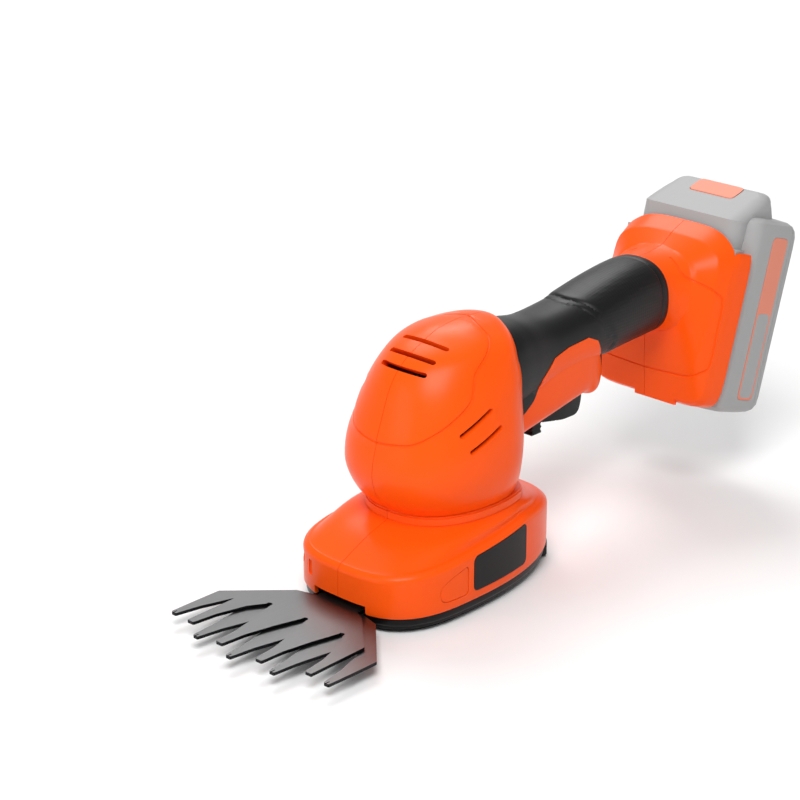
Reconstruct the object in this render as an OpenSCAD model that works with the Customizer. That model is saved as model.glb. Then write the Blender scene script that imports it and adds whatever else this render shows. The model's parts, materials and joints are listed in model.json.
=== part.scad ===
// Cordless grass shears. A motor stands upright in the head and drives an
// eccentric through a spur gear, and the eccentric swings a comb blade over a
// fixed one. The handle ends in a dock that the battery pack slides onto.
// Millimetres, +Z up, blades towards -X, battery pack towards +X. The origin
// lies on the ground, in the middle plane, under the rear of the motor head.

/* [Housing] */
// Wall of the housing halves
wall = 2.4; // [2:0.1:2.8]
// Front of the base, ahead of the origin
base_front = 92; // [90:0.5:95]
// Rear of the base, behind the origin
base_rear = 40; // [38:0.5:43]
// Half of the width of the base
base_half_w = 42; // [41:0.5:45]
// Height of the rim of the base at its front
rim_z = 28; // [27:0.5:30]
// Height of the neck above the ground
neck_z = 41; // [40.5:0.5:43]
// Height of the neck band
neck_h = 5; // [3:0.5:7]
// Front of the motor head, ahead of the origin
head_front = 69; // [67:0.5:73]
// Half of the width of the motor head
head_half_w = 40; // [38.5:0.5:42]
// Half of the width of the handle
handle_half_w = 20.5; // [19.5:0.5:22]
// Thickness of the rubber grip
grip_t = 1.8; // [1.4:0.1:2.2]
// Half of the width of the battery dock
dock_half_w = 39; // [38.5:0.5:41]
// Thickness of the badge plate
badge_t = 1; // [0.8:0.1:1.4]

/* [Sole] */
// Height of the sole cover
sole_h = 8; // [8:0.25:9]
// Thickness of the floor of the sole cover
sole_floor = 2.4; // [1.6:0.1:2.6]
// Wall of the sole cover
sole_wall = 2.2; // [1.6:0.1:2.8]

/* [Blades] */
// Spacing of the blade teeth
tooth_pitch = 25; // [23:0.5:26]
// Number of teeth on the fixed blade
tooth_count = 5; // [3:1:5]
// Width of a tooth at its tip
tooth_tip_w = 3.6; // [3:0.2:5]
// Thickness of each blade
blade_t = 1.6; // [1.2:0.1:1.7]
// How far the middle tooth reaches ahead of the origin
blade_reach = 161; // [156:1:170]
// Half of the width of the blades where they enter the base
blade_neck_w = 16; // [14:0.5:17]
// Radius of the bolt that the moving blade swings on
bolt_r = 4; // [3:0.25:5]

/* [Drive] */
// Module of the gear teeth
gear_module = 0.8; // [0.75:0.01:0.85]
// Teeth of the motor pinion
pinion_teeth = 12; // [11:1:14]
// Teeth of the drive gear
gear_teeth = 60; // [56:1:62]
// Width of the drive gear
gear_w = 7; // [5:0.5:8]
// Throw of the eccentric
cam_throw = 2.5; // [1.5:0.1:3]
// Radius of the eccentric pin
cam_pin_r = 4; // [3:0.25:4.5]
// Radius of the gear spindle
spindle_r = 5; // [4:0.25:6]
// Distance from the blade bolt to the gear spindle
yoke_reach = 29; // [28:0.5:32]

/* [Motor] */
// Radius of the motor can
motor_r = 22; // [20:0.5:23]
// Length of the motor can
motor_len = 60; // [54:1:62]
// Radius of the motor shaft
shaft_r = 2.5; // [2:0.1:3]
// Radius of the fan
fan_r = 20; // [16:0.5:24]

/* [Controls] */
// Width of the trigger
trigger_w = 15; // [12:0.5:16]
// How far the trigger stands out below the handle
trigger_drop = 13; // [10:0.5:15]
// Radius of the trigger pin
pin_r = 2; // [1.5:0.1:2.5]
// Width of the lock-off tab
lock_w = 6; // [5:0.5:8]
// Height of the release buttons on the base
button_h = 14; // [12:0.5:15]

/* [Battery] */
// Half of the width of the battery pack
pack_half_w = 37.5; // [36.5:0.5:38.5]
// Length of the battery pack
pack_len = 102; // [100:1:112]
// Thickness of the battery pack behind the dock
pack_t = 42; // [38:0.5:46]
// Wall of the pack shells
pack_wall = 2; // [1.6:0.1:2.4]
// Radius of a cell
cell_r = 9.1; // [9:0.05:9.2]
// Length of a cell
cell_len = 65; // [60:0.5:70]

/* [Fits] */
// Radial clearance of shafts in their bushes
run_clear = 0.05; // [0.02:0.01:0.1]
// Clearance round sliding and swinging pieces
slide_clear = 0.35; // [0.25:0.05:0.45]
// Gap between pieces that are screwed or glued together
seat_clear = 0.08; // [0.04:0.02:0.14]

/* [Hidden] */

orange = [1, 0.35, 0.12];
black = [0.09, 0.09, 0.1];
steel = [0.55, 0.55, 0.56];
pale = [0.68, 0.68, 0.67];
salmon = [0.98, 0.66, 0.58];

big = 400;
ring_n = 40;
inner_n = 24;
tube_n = 24;
core_n = 20;
$fn = 48;
seam = 0.05;
spring_gap = 0.1;

// Signed power, the building block of a superellipse
function spow(v, e) = sign(v) * pow(abs(v), e);

// Cubic blend of four neighbouring values
function cubic(a, b, c, d, t) =
    b + t * ((c - a) / 2 + t * (a - 2.5 * b + 2 * c - d / 2 + t * (1.5 * (b - c) + (d - a) / 2)));

// A smooth run of rows through the key rows, with a number of steps a key
function smooth(keys, steps) = let (last = len(keys) - 1)
    [for (i = [0:last - 1], k = [0:steps - 1])
        let (t = k / steps, a = keys[max(i - 1, 0)], b = keys[i], c = keys[i + 1], d = keys[min(i + 2, last)])
        [for (m = [0:len(b) - 1]) cubic(a[m], b[m], c[m], d[m], t)],
     keys[last]];

// A flat ring of a body stacked in z: height, front, widest, rear, half width,
// front power, rear power and slope
function stack_ring(s, n, inset) = [for (i = [0:n - 1])
    let (c = cos(360 * i / n), q = sin(360 * i / n), e = 2 / (c < 0 ? s[5] : s[6]),
         reach = (c < 0 ? s[2] - s[1] : s[3] - s[2]) - inset, x = s[2] + reach * spow(c, e))
    [x, (s[4] - inset) * spow(q, e), s[0] + s[7] * (x - s[2])]];

// An upright ring of a body that runs along x: place, top, bottom, half width
// and power
function tube_ring(s, n, inset) = [for (i = [0:n - 1])
    let (e = 2 / s[4], mid = (s[1] + s[2]) / 2, half = (s[1] - s[2]) / 2 - inset)
    [s[0], (s[3] - inset) * spow(cos(360 * i / n), e), mid + half * spow(sin(360 * i / n), e)]];

// Skin over a list of rings with the same number of points
module skin(rings) {
    n = len(rings[0]);
    last = len(rings) - 1;
    points = [for (ring = rings, p = ring) p];
    sides = [for (i = [0:last - 1], j = [0:n - 1], half = [0, 1])
        let (a = i * n + j, b = a + n, k = (j + 1) % n, c = (i + 1) * n + k, d = i * n + k)
        half == 0 ? [a, b, c] : [a, c, d]];
    ends = [[for (j = [0:n - 1]) j], [for (j = [n - 1:-1:0]) last * n + j]];
    polyhedron(points, concat(sides, ends));
}

// Base: widest ahead of the motor, blunt at the front and round at the rear
base_mid = -42;
base_slope = 0.08;
neck_mid = -18;
neck_front = -59.5;
neck_rear = 19;
neck_half_w = 33;
rim_mid_z = rim_z + base_slope * (base_front + base_mid);
function base_row(z, inset, slope) =
    [z, inset - base_front, base_mid, base_rear - inset, base_half_w - inset, 3, 2.2, slope];
function neck_row(z, grow) =
    [z, neck_front - grow, neck_mid, neck_rear + grow, neck_half_w + grow, 2.4, 2.3, 0];
base_rows = [
    base_row(sole_h, 0.8, 0), base_row(sole_h + 6, 0, 0), base_row(rim_mid_z - 4, 0, base_slope),
    base_row(rim_mid_z - 0.8, 0.6, base_slope), base_row(rim_mid_z + 0.6, 2.2, base_slope),
    base_row(rim_mid_z + 1.4, 4.2, base_slope),
    [(rim_mid_z + neck_z) / 2 + 1.7, (neck_front - base_front + 6) / 2, (neck_mid + base_mid) / 2,
        (neck_rear + base_rear - 4) / 2, (neck_half_w + base_half_w) / 2 - 1, 2.7, 2.25, base_slope * 0.44],
    neck_row(neck_z, 0)
];
function base_y(x, inset) = let (front = base_front + base_mid - inset, rear = base_rear - base_mid - inset,
    p = x < base_mid ? 3 : 2.2, share = x < base_mid ? (base_mid - x) / front : (x - base_mid) / rear)
    (base_half_w - inset) * pow(1 - pow(min(share, 1), p), 1 / p);

// Head: height, setback of the front, widest, rear, narrowing and power
head_z = neck_z + neck_h;
head_keys = [
    [head_z, 10.5, -18, 15.5, 8.5, 2.3], [53, 4, -19, 14, 4, 2.3], [62, 0.3, -20, 13, 1, 2.4],
    [70, 0, -20, 13, 0, 2.4], [80, 2.5, -19, 13, 0.5, 2.4], [92, 7, -16, 12.5, 3, 2.3],
    [104, 11.7, -12, 12, 5.5, 2.1], [112, 17, -10, 11, 8.5, 2], [118, 24.5, -8, 11, 12, 2],
    [122.5, 34.5, -6, 11, 17.5, 2], [126, 43.5, -4, 10, 26, 2], [127.5, 55, -3, 5, 33, 2]
];
dome_z = 100;
head_rear_power = 2.05;
function head_row(k, drop) = [k[0] - (k[0] > dome_z ? drop : 0), k[1] - head_front, k[2], k[3],
    head_half_w - k[4], k[5], min(k[5], head_rear_power), 0];

// Handle: place, top, bottom, widening and power
handle_keys = [
    [-6, 116, 80, 2, 2.4], [10, 120.5, 77, 2.5, 2.4], [23, 120, 78, 1.5, 2.4], [40, 117.5, 81, 0, 2.4],
    [62, 119, 84, -0.5, 2.4], [72, 121, 85, -0.3, 2.4], [93, 125, 87, 0.1, 2.4],
    [112, 127.5, 88, 0.1, 2.4], [124, 127.5, 88.5, -0.2, 2.4], [142, 125, 89, -1.5, 2.4]
];
function handle_row(k) = [k[0], k[1], k[2], handle_half_w + k[3], k[4]];

// Belly under the handle, which carries the trigger: place, top, bottom, half
// width and power
belly_keys = [
    [4, 100, 60, 17, 3], [20, 101, 64, 18.5, 3], [40, 102, 68, 18.8, 3], [60, 102, 71.5, 18, 3],
    [67, 102, 72.2, 17.5, 3], [71.5, 101.5, 70, 17, 3], [75.5, 100, 70.5, 16, 3],
    [78.5, 98, 74.5, 14, 3], [79.8, 95, 79, 10, 3]
];

// Dock, in the tilted frame of the battery pack: depth, top, bottom, narrowing
// and power
dock_tilt = 17;
dock_back = 113.5;
cheek_back = 124;
pack_low = 86;
pack_top = pack_low + pack_len;
dock_low = pack_low + 1;
dock_high = pack_top - 6;
dock_keys = [
    [94, dock_high - 22, 130, 17, 2.4], [98, dock_high - 17.5, 128, 13, 2.6],
    [102, dock_high - 13, 115, 8, 3], [105.5, dock_high - 9, 105, 5.5, 3.4],
    [109, dock_high - 4.5, 94, 3.2, 3.8], [112, dock_high - 2, dock_low + 1, 2, 4.1],
    [116, dock_high, dock_low, 0.8, 4.3], [cheek_back, dock_high, dock_low, 0, 4.4]
];
// Lug under the dock, on its left side
lug_front = 110;
lug_w = 20;
lug_drop = 1.5;
function dock_row(k) = [k[0], k[1], k[2], dock_half_w - k[3], k[4]];

// Side view of the rubber grip
grip_outline = [
    [-20, 150], [123.5, 150], [123.5, 70], [79, 70], [77, 84], [74, 92], [68.5, 101.5], [62, 104.5],
    [47, 103.5], [36, 101], [27, 93], [22, 83], [14, 76.5], [9, 84], [0, 96], [-20, 100]
];

module beyond_seam(side) {
    translate([-big / 2, side > 0 ? seam - big : -seam, -big / 2]) cube(big);
}

module tilted() {
    rotate([0, dock_tilt, 0]) children();
}

// Turns a flat drawing of x and z into a slab across y, from near to far
module slab(near, far) {
    translate([0, far, 0]) rotate([90, 0, 0]) linear_extrude(far - near) children();
}

module cross_rod(x, z, r, near, far) {
    translate([x, far, z]) rotate([90, 0, 0]) cylinder(r = r, h = far - near);
}

module base_solid(inset = 0) {
    rows = [for (i = [0:len(base_rows) - 1]) let (row = base_rows[i], drop = max(inset, 0))
        concat([row[0] - (i == 0 && inset > 0 ? 4 : i > 2 ? drop : 0)], [for (m = [1:7]) row[m]])];
    skin([for (row = rows) stack_ring(row, inset > 0 ? inner_n : ring_n, inset)]);
}

module neck_solid(inset = 0) {
    overlap = inset > 0 ? inset + 1 : 0.6;
    skin([for (z = [neck_z - overlap, head_z + overlap])
        stack_ring(neck_row(z, -0.6), inset > 0 ? inner_n : ring_n, inset)]);
}

module head_solid(inset = 0) {
    rows = smooth([for (k = head_keys) head_row(k, inset)], inset > 0 ? 1 : 2);
    skin([for (row = rows) stack_ring(row, inset > 0 ? inner_n : ring_n, min(inset, row[4] * 0.6))]);
}

module handle_solid(inset = 0) {
    rows = smooth([for (k = handle_keys) handle_row(k)], inset > 0 ? 1 : 2);
    skin([for (row = rows) tube_ring(row, inset > 0 ? core_n : tube_n, inset)]);
}

module belly_solid(inset = 0) {
    skin([for (k = belly_keys)
        tube_ring([k[0] - (k[0] > 70 ? inset : 0), k[1], k[2], k[3], k[4]],
            inset > 0 ? core_n : tube_n, inset)]);
}

module dock_form(inset) {
    skin([for (k = dock_keys) let (row = dock_row(k))
        tube_ring([row[0] + inset, row[1], row[2], row[3], row[4]], inset > 0 ? inner_n : ring_n, inset)]);
}

module dock_solid(inset = 0) {
    tilted() dock_form(inset);
}

module grip_region(gap) {
    slab(-big, big) offset(delta = -gap) polygon(grip_outline);
}

// Heights of the stack from the ground up
fixed_z = sole_h - 1.8;
moving_z = fixed_z + blade_t + 0.1;
moving_top = moving_z + blade_t;
plate_z = sole_h + 3;
plate_t = 2.6;
plate_top = plate_z + plate_t;
gear_z = plate_top + 4.4;
cover_z = gear_z + gear_w + 1.5;
cover_t = 3.4;
cover_top = cover_z + cover_t;
motor_z = cover_top + 0.2;
motor_top = motor_z + motor_len;
cap_h = 5.3;
cap_top = motor_top + seat_clear + cap_h;
fan_z = cap_top + 2;
fan_h = 8;

// Places along the tool
pivot_x = -72;
spindle_x = pivot_x + yoke_reach;
motor_x = spindle_x + gear_module * (gear_teeth + pinion_teeth) / 2;
rest_swing = 1.6;
cam_angle = 180 - asin(yoke_reach * sin(rest_swing) / cam_throw);
plate_front = -80;
plate_rear = 6;
plate_half_w = 28;
plate_grip = 2.4;
post_places = [[-65, 20.5], [-65, -20.5], [2, 21], [2, -21]];
cover_front = -70;
spacer_places = [[-22, 13], [-22, -13]];
post_r = 4;
screw_r = 1.5;
screw_head_r = 3;

// Housing screws by x and z, and those of the dock by depth and height
screw_places = [[-84, 22], [26, 22], [-50, 62], [14, 69], [-46, 100], [13, 113], [80, 112]];
dock_screw_places = [[109.2, dock_high - 18], [109.2, dock_low + 27]];
boss_r = 4.5;
screw_seat = 7.3;
screw_tip = 10;

// Runs a shape at every housing screw, lying along y
module at_screws() {
    for (p = screw_places) translate([p[0], 0, p[1]]) rotate([-90, 0, 0]) children();
    tilted() for (p = dock_screw_places) translate([p[0], 0, p[1]]) rotate([-90, 0, 0]) children();
}

// Release button in the side of the base
button_x = -57;
button_z = 19.8;
button_half_w = 8.4;
button_face = base_y(button_x, 0) - 0.3;
button_wall = base_y(button_x - 11, wall);
button_inner = 34;
button_pocket = 3.2;
button_travel = 2.5;
button_seat = 30.6;
shelf_z = button_z + button_h / 2 + 2.2;
module button_outline(grow) {
    low = -button_h / 2;
    high = button_h / 2;
    offset(delta = grow) translate([button_x, button_z])
        polygon([[-6, low], [button_half_w, low], [button_half_w, high], [-2, high - 3],
            [-button_half_w, high - 6.5], [-button_half_w, low + 2.5]]);
}

// Controls in the belly
trigger_x = 44;
trigger_z = 82;
trigger_line = 72.4;
trigger_low = trigger_line - trigger_drop;
trigger_front = 47.8;
trigger_rear = 72.5;
switch_x = 46;
switch_len = 28;
switch_z = 87;
switch_h = 20;
switch_half_w = 8;
trigger_pad_z = switch_z - 7;
lock_x = 40.6;
lock_len = 6;
lock_low = 54.5;
lock_floor = 74;
lock_top = 76.3;
lock_spring_z = 78;
lock_travel = 3;
lock_heel = 3;
lock_heel_t = 2;
lock_ear = 2.5;
lock_rib = 25;
lip_x = lock_x - 0.2;
lip_y = lock_w / 2 + slide_clear + 0.2;
board_x = 86;
board_len = 30;
board_z = 103;
board_t = 1.6;
board_half_w = 13;

// Terminal block in the rear wall of the dock
block_front = 104;
block_back = dock_back - 0.2;
block_low = 120;
block_high = 150;
block_half_w = 18;
blade_places = [-15, -6, 6, 15];
contact_t = 0.8;

// Battery pack: the channel of the dock, the rail that runs in it, and the body
channel_half_w = dock_half_w - 3.7;
lip_front = 121;
lip_half_w = channel_half_w - 3.5;
pack_front = cheek_back + 0.4;
pack_back = pack_front + pack_t;
toe_front = dock_back + 3;
toe_back = pack_front + 0.574 * pack_t;
toe_top = pack_top + 12.5;
ramp_low = dock_high + 3;
ramp_back = toe_back - 7.8;
ramp_rise = (toe_top - ramp_low) / (ramp_back - toe_front);
function ramp(v) = ramp_low + (v - toe_front) * ramp_rise;
ramp_wall = pack_wall * sqrt(1 + ramp_rise * ramp_rise);
pack_split = pack_back - 9;
rail_low = pack_low + 14;
rail_high = pack_top - 8;
channel_low = rail_low - 0.4;
cell_v = pack_split - cell_r - 0.3;
cell_pitch = 2 * cell_r + 0.4;
cell_count = floor((pack_len - 2 * pack_wall) / cell_pitch);
cell_u = (pack_low + pack_top - (cell_count - 1) * cell_pitch) / 2;
label_w = pack_t / 3;
label_v = pack_split - 2.5 - label_w;
label_low = pack_low + 7;
label_high = pack_top - 7;
label_t = 0.6;
toe_half_w = pack_half_w - 5;
pack_button_w = 10;
pack_button_v = ramp_back - pack_button_w / 2 - 0.2;
pack_button_half_y = 14;
flange_top = ramp(pack_button_v - pack_button_w / 2 - 1) - ramp_wall - 0.3;
flange_t = 1.6;
shelf_u = pack_top - 4;
shelf_back = pack_button_v + 6.4;

// Vents of the head: those on its brow by place and lean, those on its sides by
// their two ends
brow_vents = [[-34, 121, 20], [-43.5, 118, 35], [-50, 113.5, 50]];
brow_vent_half_w = 13;
side_vents = [[[-43, 88], [-26, 97]], [[-38, 80], [-20, 87]]];
vent_r = 1.2;

module vents() {
    for (v = brow_vents, side = [-1, 1])
        hull() for (y = [0, brow_vent_half_w]) translate([v[0], side * y, v[1]]) rotate([0, -v[2], 0])
            cylinder(r = vent_r, h = 20, center = true, $fn = 12);
    for (v = side_vents, side = [-1, 1])
        hull() for (end = v)
            cross_rod(end[0], end[1], vent_r, side > 0 ? 26 : -50, side > 0 ? 50 : -26, $fn = 12);
}

module outer_solid() {
    base_solid();
    neck_solid();
    head_solid();
    dock_solid();
    difference() {
        union() {
            handle_solid();
            belly_solid();
        }
        grip_region(0);
    }
    handle_solid(grip_t);
    belly_solid(grip_t);
    tilted() translate([lug_front, -lug_w, dock_low - lug_drop])
        cube([dock_back - 0.5 - lug_front, lug_w, 8]);
}

module inner_solid() {
    base_solid(wall);
    neck_solid(wall);
    head_solid(wall);
    handle_solid(grip_t + wall);
    belly_solid(grip_t + wall);
    difference() {
        dock_solid(wall);
        tilted() translate([dock_back - wall, -big / 2, 0]) cube(big);
    }
}

// Ribs, bosses and seats that the housing halves hold their inner pieces with
module housing_ribs(side) {
    for (z = [50, 82]) difference() {
        translate([-75, -60, z]) cube([89, 120, 3]);
        translate([motor_x, 0, z - 1]) cylinder(r = motor_r + 2 * seat_clear, h = 5, $fn = 60);
    }
    at_screws() cylinder(r = boss_r, h = 120, center = true);
    for (x = [-79, -36, -8]) difference() {
        translate([x, side > 0 ? plate_half_w - plate_grip : -50, sole_h + 0.15])
            cube([9, 50 - plate_half_w + plate_grip, plate_z + plate_t + 0.9 - sole_h]);
        translate([x - 1, -plate_half_w - seat_clear, plate_z - seat_clear])
            cube([11, 2 * (plate_half_w + seat_clear), plate_t + 2 * seat_clear]);
    }
    translate([button_x - 9, side > 0 ? button_seat - 2 : -50, shelf_z]) cube([18, 52 - button_seat, 2]);
    translate([button_x - 5, side > 0 ? button_seat - 2 : -button_seat, button_z - 5])
        cube([10, 2, shelf_z - button_z + 6]);
    difference() {
        cross_rod(trigger_x, trigger_z, boss_r, -40, 40);
        gap = trigger_w / 2 + slide_clear;
        cross_rod(trigger_x, trigger_z, boss_r + 1, -gap, gap);
    }
    pad_y = switch_half_w + seat_clear;
    translate([switch_x + 6, side > 0 ? pad_y : -40, switch_z + 5]) cube([switch_len - 12, 40 - pad_y, 10]);
    difference() {
        translate([board_x + 4, side > 0 ? board_half_w - 1 : -40, board_z - 3])
            cube([board_len - 8, 41 - board_half_w, 7.6]);
        translate([board_x, -board_half_w - seat_clear, board_z - seat_clear])
            cube([board_len, 2 * (board_half_w + seat_clear), board_t + 2 * seat_clear]);
    }
    translate([lock_rib - 2, -9, 60]) cube([2, 18, 26]);
}

module dock_channel() {
    tilted() {
        translate([dock_back, -channel_half_w, channel_low])
            cube([lip_front - dock_back, 2 * channel_half_w, big]);
        translate([dock_back, -lip_half_w, channel_low - wall]) cube([40, 2 * lip_half_w, big]);
        translate([block_front, -block_half_w - seat_clear, block_low - seat_clear])
            cube([12, 2 * (block_half_w + seat_clear), block_high - block_low + 2 * seat_clear]);
    }
}

module housing_cuts(side) {
    vents();
    translate([-base_front - 5, -20, 0]) cube([18, 40, sole_h + 6]);
    trigger_gap = trigger_w / 2 + slide_clear;
    translate([trigger_front - 1, -trigger_gap, trigger_low])
        cube([trigger_rear - trigger_front + 3.2, 2 * trigger_gap, 22]);
    lock_gap = lock_w / 2 + slide_clear;
    translate([lock_x - lock_travel - slide_clear, -lock_gap, lock_low])
        cube([lock_len + lock_travel + 2 * slide_clear, 2 * lock_gap, lock_floor - lock_low + 1]);
    slab(side > 0 ? button_wall - 3 : -60, side > 0 ? 60 : 3 - button_wall) button_outline(slide_clear);
    cross_rod(trigger_x, trigger_z, pin_r + run_clear, -15.1, 15.1);
    at_screws() {
        translate([0, 0, -screw_tip - 1]) cylinder(r = screw_r + 0.08, h = screw_tip + 1);
        cylinder(r = screw_r + 0.25, h = screw_seat + 1);
        translate([0, 0, screw_seat]) cylinder(r = screw_head_r + 0.4, h = 60);
    }
    dock_channel();
    if (side < 0) badge_strip(seat_clear);
}

module housing(side) {
    $fn = 16;
    color(orange) difference() {
        union() {
            difference() {
                outer_solid();
                inner_solid();
            }
            intersection() {
                housing_ribs(side);
                outer_solid();
            }
        }
        housing_cuts(side);
        beyond_seam(side);
    }
}

module left_housing() {
    housing(-1);
}

module right_housing() {
    housing(1);
}

// Two lines that cross the top of the grip and sweep back down its sides
band_places = [70, 74];
band_points = [[0, 0, 121], [1.5, 9, 120], [5, 17, 114], [10, 20.3, 104], [15, 18.5, 94]];

module grip(side) {
    color(black) difference() {
        intersection() {
            union() {
                handle_solid();
                belly_solid();
            }
            grip_region(seat_clear);
        }
        handle_solid(grip_t - seat_clear);
        belly_solid(grip_t - seat_clear);
        head_solid(-seat_clear);
        dock_solid(-seat_clear);
        for (x = band_places, i = [0:len(band_points) - 2])
            hull() for (k = [i, i + 1]) let (p = band_points[k])
                translate([x + p[0], side * p[1], p[2]]) sphere(r = 0.7, $fn = 8);
        beyond_seam(side);
    }
}

module left_grip() {
    grip(-1);
}

module right_grip() {
    grip(1);
}

// Plate let into the left side of the base
badge_front = -45;
badge_rear = -3;
badge_proud = 0.25;
badge_low = 12.5;
badge_high = 30;
badge_rise = 3.4;
module badge_strip(gap) {
    steps = 8;
    xs = [for (i = [0:steps]) badge_front + (badge_rear - badge_front) * i / steps];
    outside = [for (x = xs) [x, -base_y(x, 0) - badge_proud - 10 * gap]];
    inside = [for (i = [steps:-1:0]) [xs[i], badge_t - badge_proud - base_y(xs[i], 0) + gap]];
    intersection() {
        linear_extrude(60) polygon(concat(outside, inside));
        slab(-60, 0) offset(delta = gap) polygon([[badge_front + 0.5, badge_low],
            [badge_rear - 2, badge_low], [badge_rear - 0.5, badge_low + 2],
            [badge_rear - 0.5, badge_high + badge_rise], [badge_front + 2, badge_high],
            [badge_front + 0.5, badge_high - 2]]);
    }
}

module badge_plate() {
    color(black) badge_strip(0);
}

module housing_screws() {
    color(steel) at_screws() {
        translate([0, 0, -screw_tip]) cylinder(r = screw_r, h = screw_tip + screw_seat + 1);
        translate([0, 0, screw_seat + seat_clear]) cylinder(r = screw_head_r, h = 2.4);
    }
}

// Sole cover: a tray in three steps under the base, open at the front for the
// blades, with a heel lip at the rear
module base_outline(inset) {
    polygon([for (p = stack_ring(base_row(0, 0, 0), ring_n, inset)) [p[0], p[1]]]);
}

module sole_cover() {
    top = sole_h - seat_clear;
    color(black) difference() {
        union() {
            linear_extrude(1.6) base_outline(4.4);
            translate([0, 0, 1.4]) linear_extrude(2.8) base_outline(2.4);
            translate([0, 0, 4]) linear_extrude(top - 4) base_outline(1.2);
            intersection() {
                translate([0, 0, 1]) linear_extrude(top - 1) base_outline(-0.4);
                translate([24, -24, 0]) cube([30, 48, 30]);
            }
        }
        translate([0, 0, sole_floor]) linear_extrude(20) base_outline(4.4 + sole_wall);
        translate([-base_front - 10, -blade_neck_w - 4, fixed_z - 0.5]) cube([40, 2 * blade_neck_w + 8, 20]);
    }
    color(black) for (x = [-20, 14], side = [-1, 1]) let (y = base_y(x + 5, 4.4 + sole_wall))
        translate([x - 5, side > 0 ? y - 2 : -y, sole_floor]) cube([10, 2, sole_h + 3 - sole_floor]);
}

module release_button(side) {
    face = side > 0 ? [button_inner, button_face] : [-button_face, -button_inner];
    flange = side > 0 ? [button_inner, button_wall - 0.4] : [0.4 - button_wall, -button_inner];
    color(orange) difference() {
        union() {
            slab(face[0], face[1]) button_outline(0);
            slab(flange[0], flange[1]) button_outline(1.2);
        }
        pocket = side > 0 ? [0, button_inner + button_pocket] : [-button_inner - button_pocket, 0];
        cross_rod(button_x, button_z, 4.4, pocket[0], pocket[1]);
    }
}

module left_release_button() {
    release_button(-1);
}

module right_release_button() {
    release_button(1);
}

// Coil spring along z: one tube with flat-cut ends
spring_sides = 6;
spring_rings = 8;
function spring_ring(radius, length, turns, wire, i) =
    let (a = 360 * i / spring_rings, z = wire + (length - 2 * wire) * i / (turns * spring_rings))
    [for (k = [0:spring_sides - 1]) let (b = 360 * k / spring_sides, out = radius + wire * cos(b))
        [out * cos(a), out * sin(a), z + wire * sin(b)]];
module coil_spring(radius, length, turns, wire) {
    skin([for (i = [turns * spring_rings:-1:0]) spring_ring(radius, length, turns, wire, i)]);
}

module release_spring(side) {
    length = button_inner + button_pocket - button_seat - 0.2;
    color(steel) translate([button_x, side * (button_seat + 0.1), button_z]) rotate([-90 * side, 0, 0])
        coil_spring(3.2, length, 3, 0.4);
}

module left_release_spring() {
    release_spring(-1);
}

module right_release_spring() {
    release_spring(1);
}

// Outline of a comb blade: its body, then teeth that fan out a little
tooth_root = 126;
tooth_fan = 0.94;
gullet_w = 3;
tooth_root_half_w = (tooth_fan * tooth_pitch - gullet_w) / 2;
function tip_x(y) = y * y / 210 - blade_reach;
function held(v, edge) = max(-edge, min(edge, v));
module blade_teeth(ys, edge, setback) {
    for (y = ys) {
        root = tooth_fan * y;
        tip = tip_x(y) + setback;
        near = held(root - tooth_root_half_w, edge);
        far = held(root + tooth_root_half_w, edge);
        polygon([[3 - tooth_root, near], [-tooth_root, near], [tip, y - tooth_tip_w / 2],
            [tip, y + tooth_tip_w / 2], [-tooth_root, far], [3 - tooth_root, far]]);
    }
}

module blade_body(edge, shoulder, rear, tail, tail_half_w) {
    neck = blade_neck_w - 1;
    front = -base_front - 1.5;
    corner = front - edge + shoulder;
    root = -tooth_root - 2;
    near = [[rear, -tail_half_w], [tail, -tail_half_w], [tail, -neck], [2 - base_front, -neck],
        [front, -shoulder], [corner, -edge], [root, -edge]];
    polygon(concat(near, [for (i = [len(near) - 1:-1:0]) [near[i][0], -near[i][1]]]));
}

fixed_teeth = [for (i = [0:tooth_count - 1]) (i - (tooth_count - 1) / 2) * tooth_pitch];
moving_teeth = [for (i = [0:tooth_count - 2]) (i - (tooth_count - 2) / 2) * tooth_pitch];
fixed_edge = (tooth_count - 1) / 2 * tooth_pitch + tooth_tip_w / 2;
moving_edge = (tooth_count - 2) / 2 * tooth_pitch + tooth_tip_w / 2;

module fixed_blade() {
    pad_x = spacer_places[0][0];
    pad_y = spacer_places[0][1] + 5.5;
    color(steel) translate([0, 0, fixed_z]) difference() {
        linear_extrude(blade_t) union() {
            blade_teeth(fixed_teeth, fixed_edge, 0);
            blade_body(fixed_edge - 0.3, 26, pad_x + 8, pad_x - 8, pad_y);
        }
        translate([pivot_x, 0, -1]) cylinder(r = bolt_r + seat_clear, h = 9);
        for (p = spacer_places) translate([p[0], p[1], -1]) cylinder(r = screw_r + seat_clear, h = 9);
    }
}

slot_half_w = cam_pin_r + 2 * cam_throw + 0.4;
slot_half_len = cam_pin_r + cam_throw + 0.8;
gullets = [for (i = [0:tooth_count - 3]) (i - (tooth_count - 3) / 2) * tooth_fan * tooth_pitch];
module moving_blade() {
    color(steel) translate([pivot_x, 0, moving_z]) rotate(rest_swing) translate([-pivot_x, 0, 0])
    difference() {
        linear_extrude(blade_t) difference() {
            union() {
                blade_teeth(moving_teeth, moving_edge, 3.5);
                blade_body(moving_edge - 0.3, 19, spindle_x + slot_half_len + 4.5,
                    spindle_x - slot_half_len - 4, slot_half_w + 4);
            }
            for (y = gullets) translate([-tooth_root - 3, y - gullet_w / 2]) square([15, gullet_w]);
        }
        translate([pivot_x, 0, -1]) cylinder(r = bolt_r + run_clear, h = 9);
        translate([spindle_x - slot_half_len, -slot_half_w, -1])
            cube([2 * slot_half_len, 2 * slot_half_w, 9]);
    }
}

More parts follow.
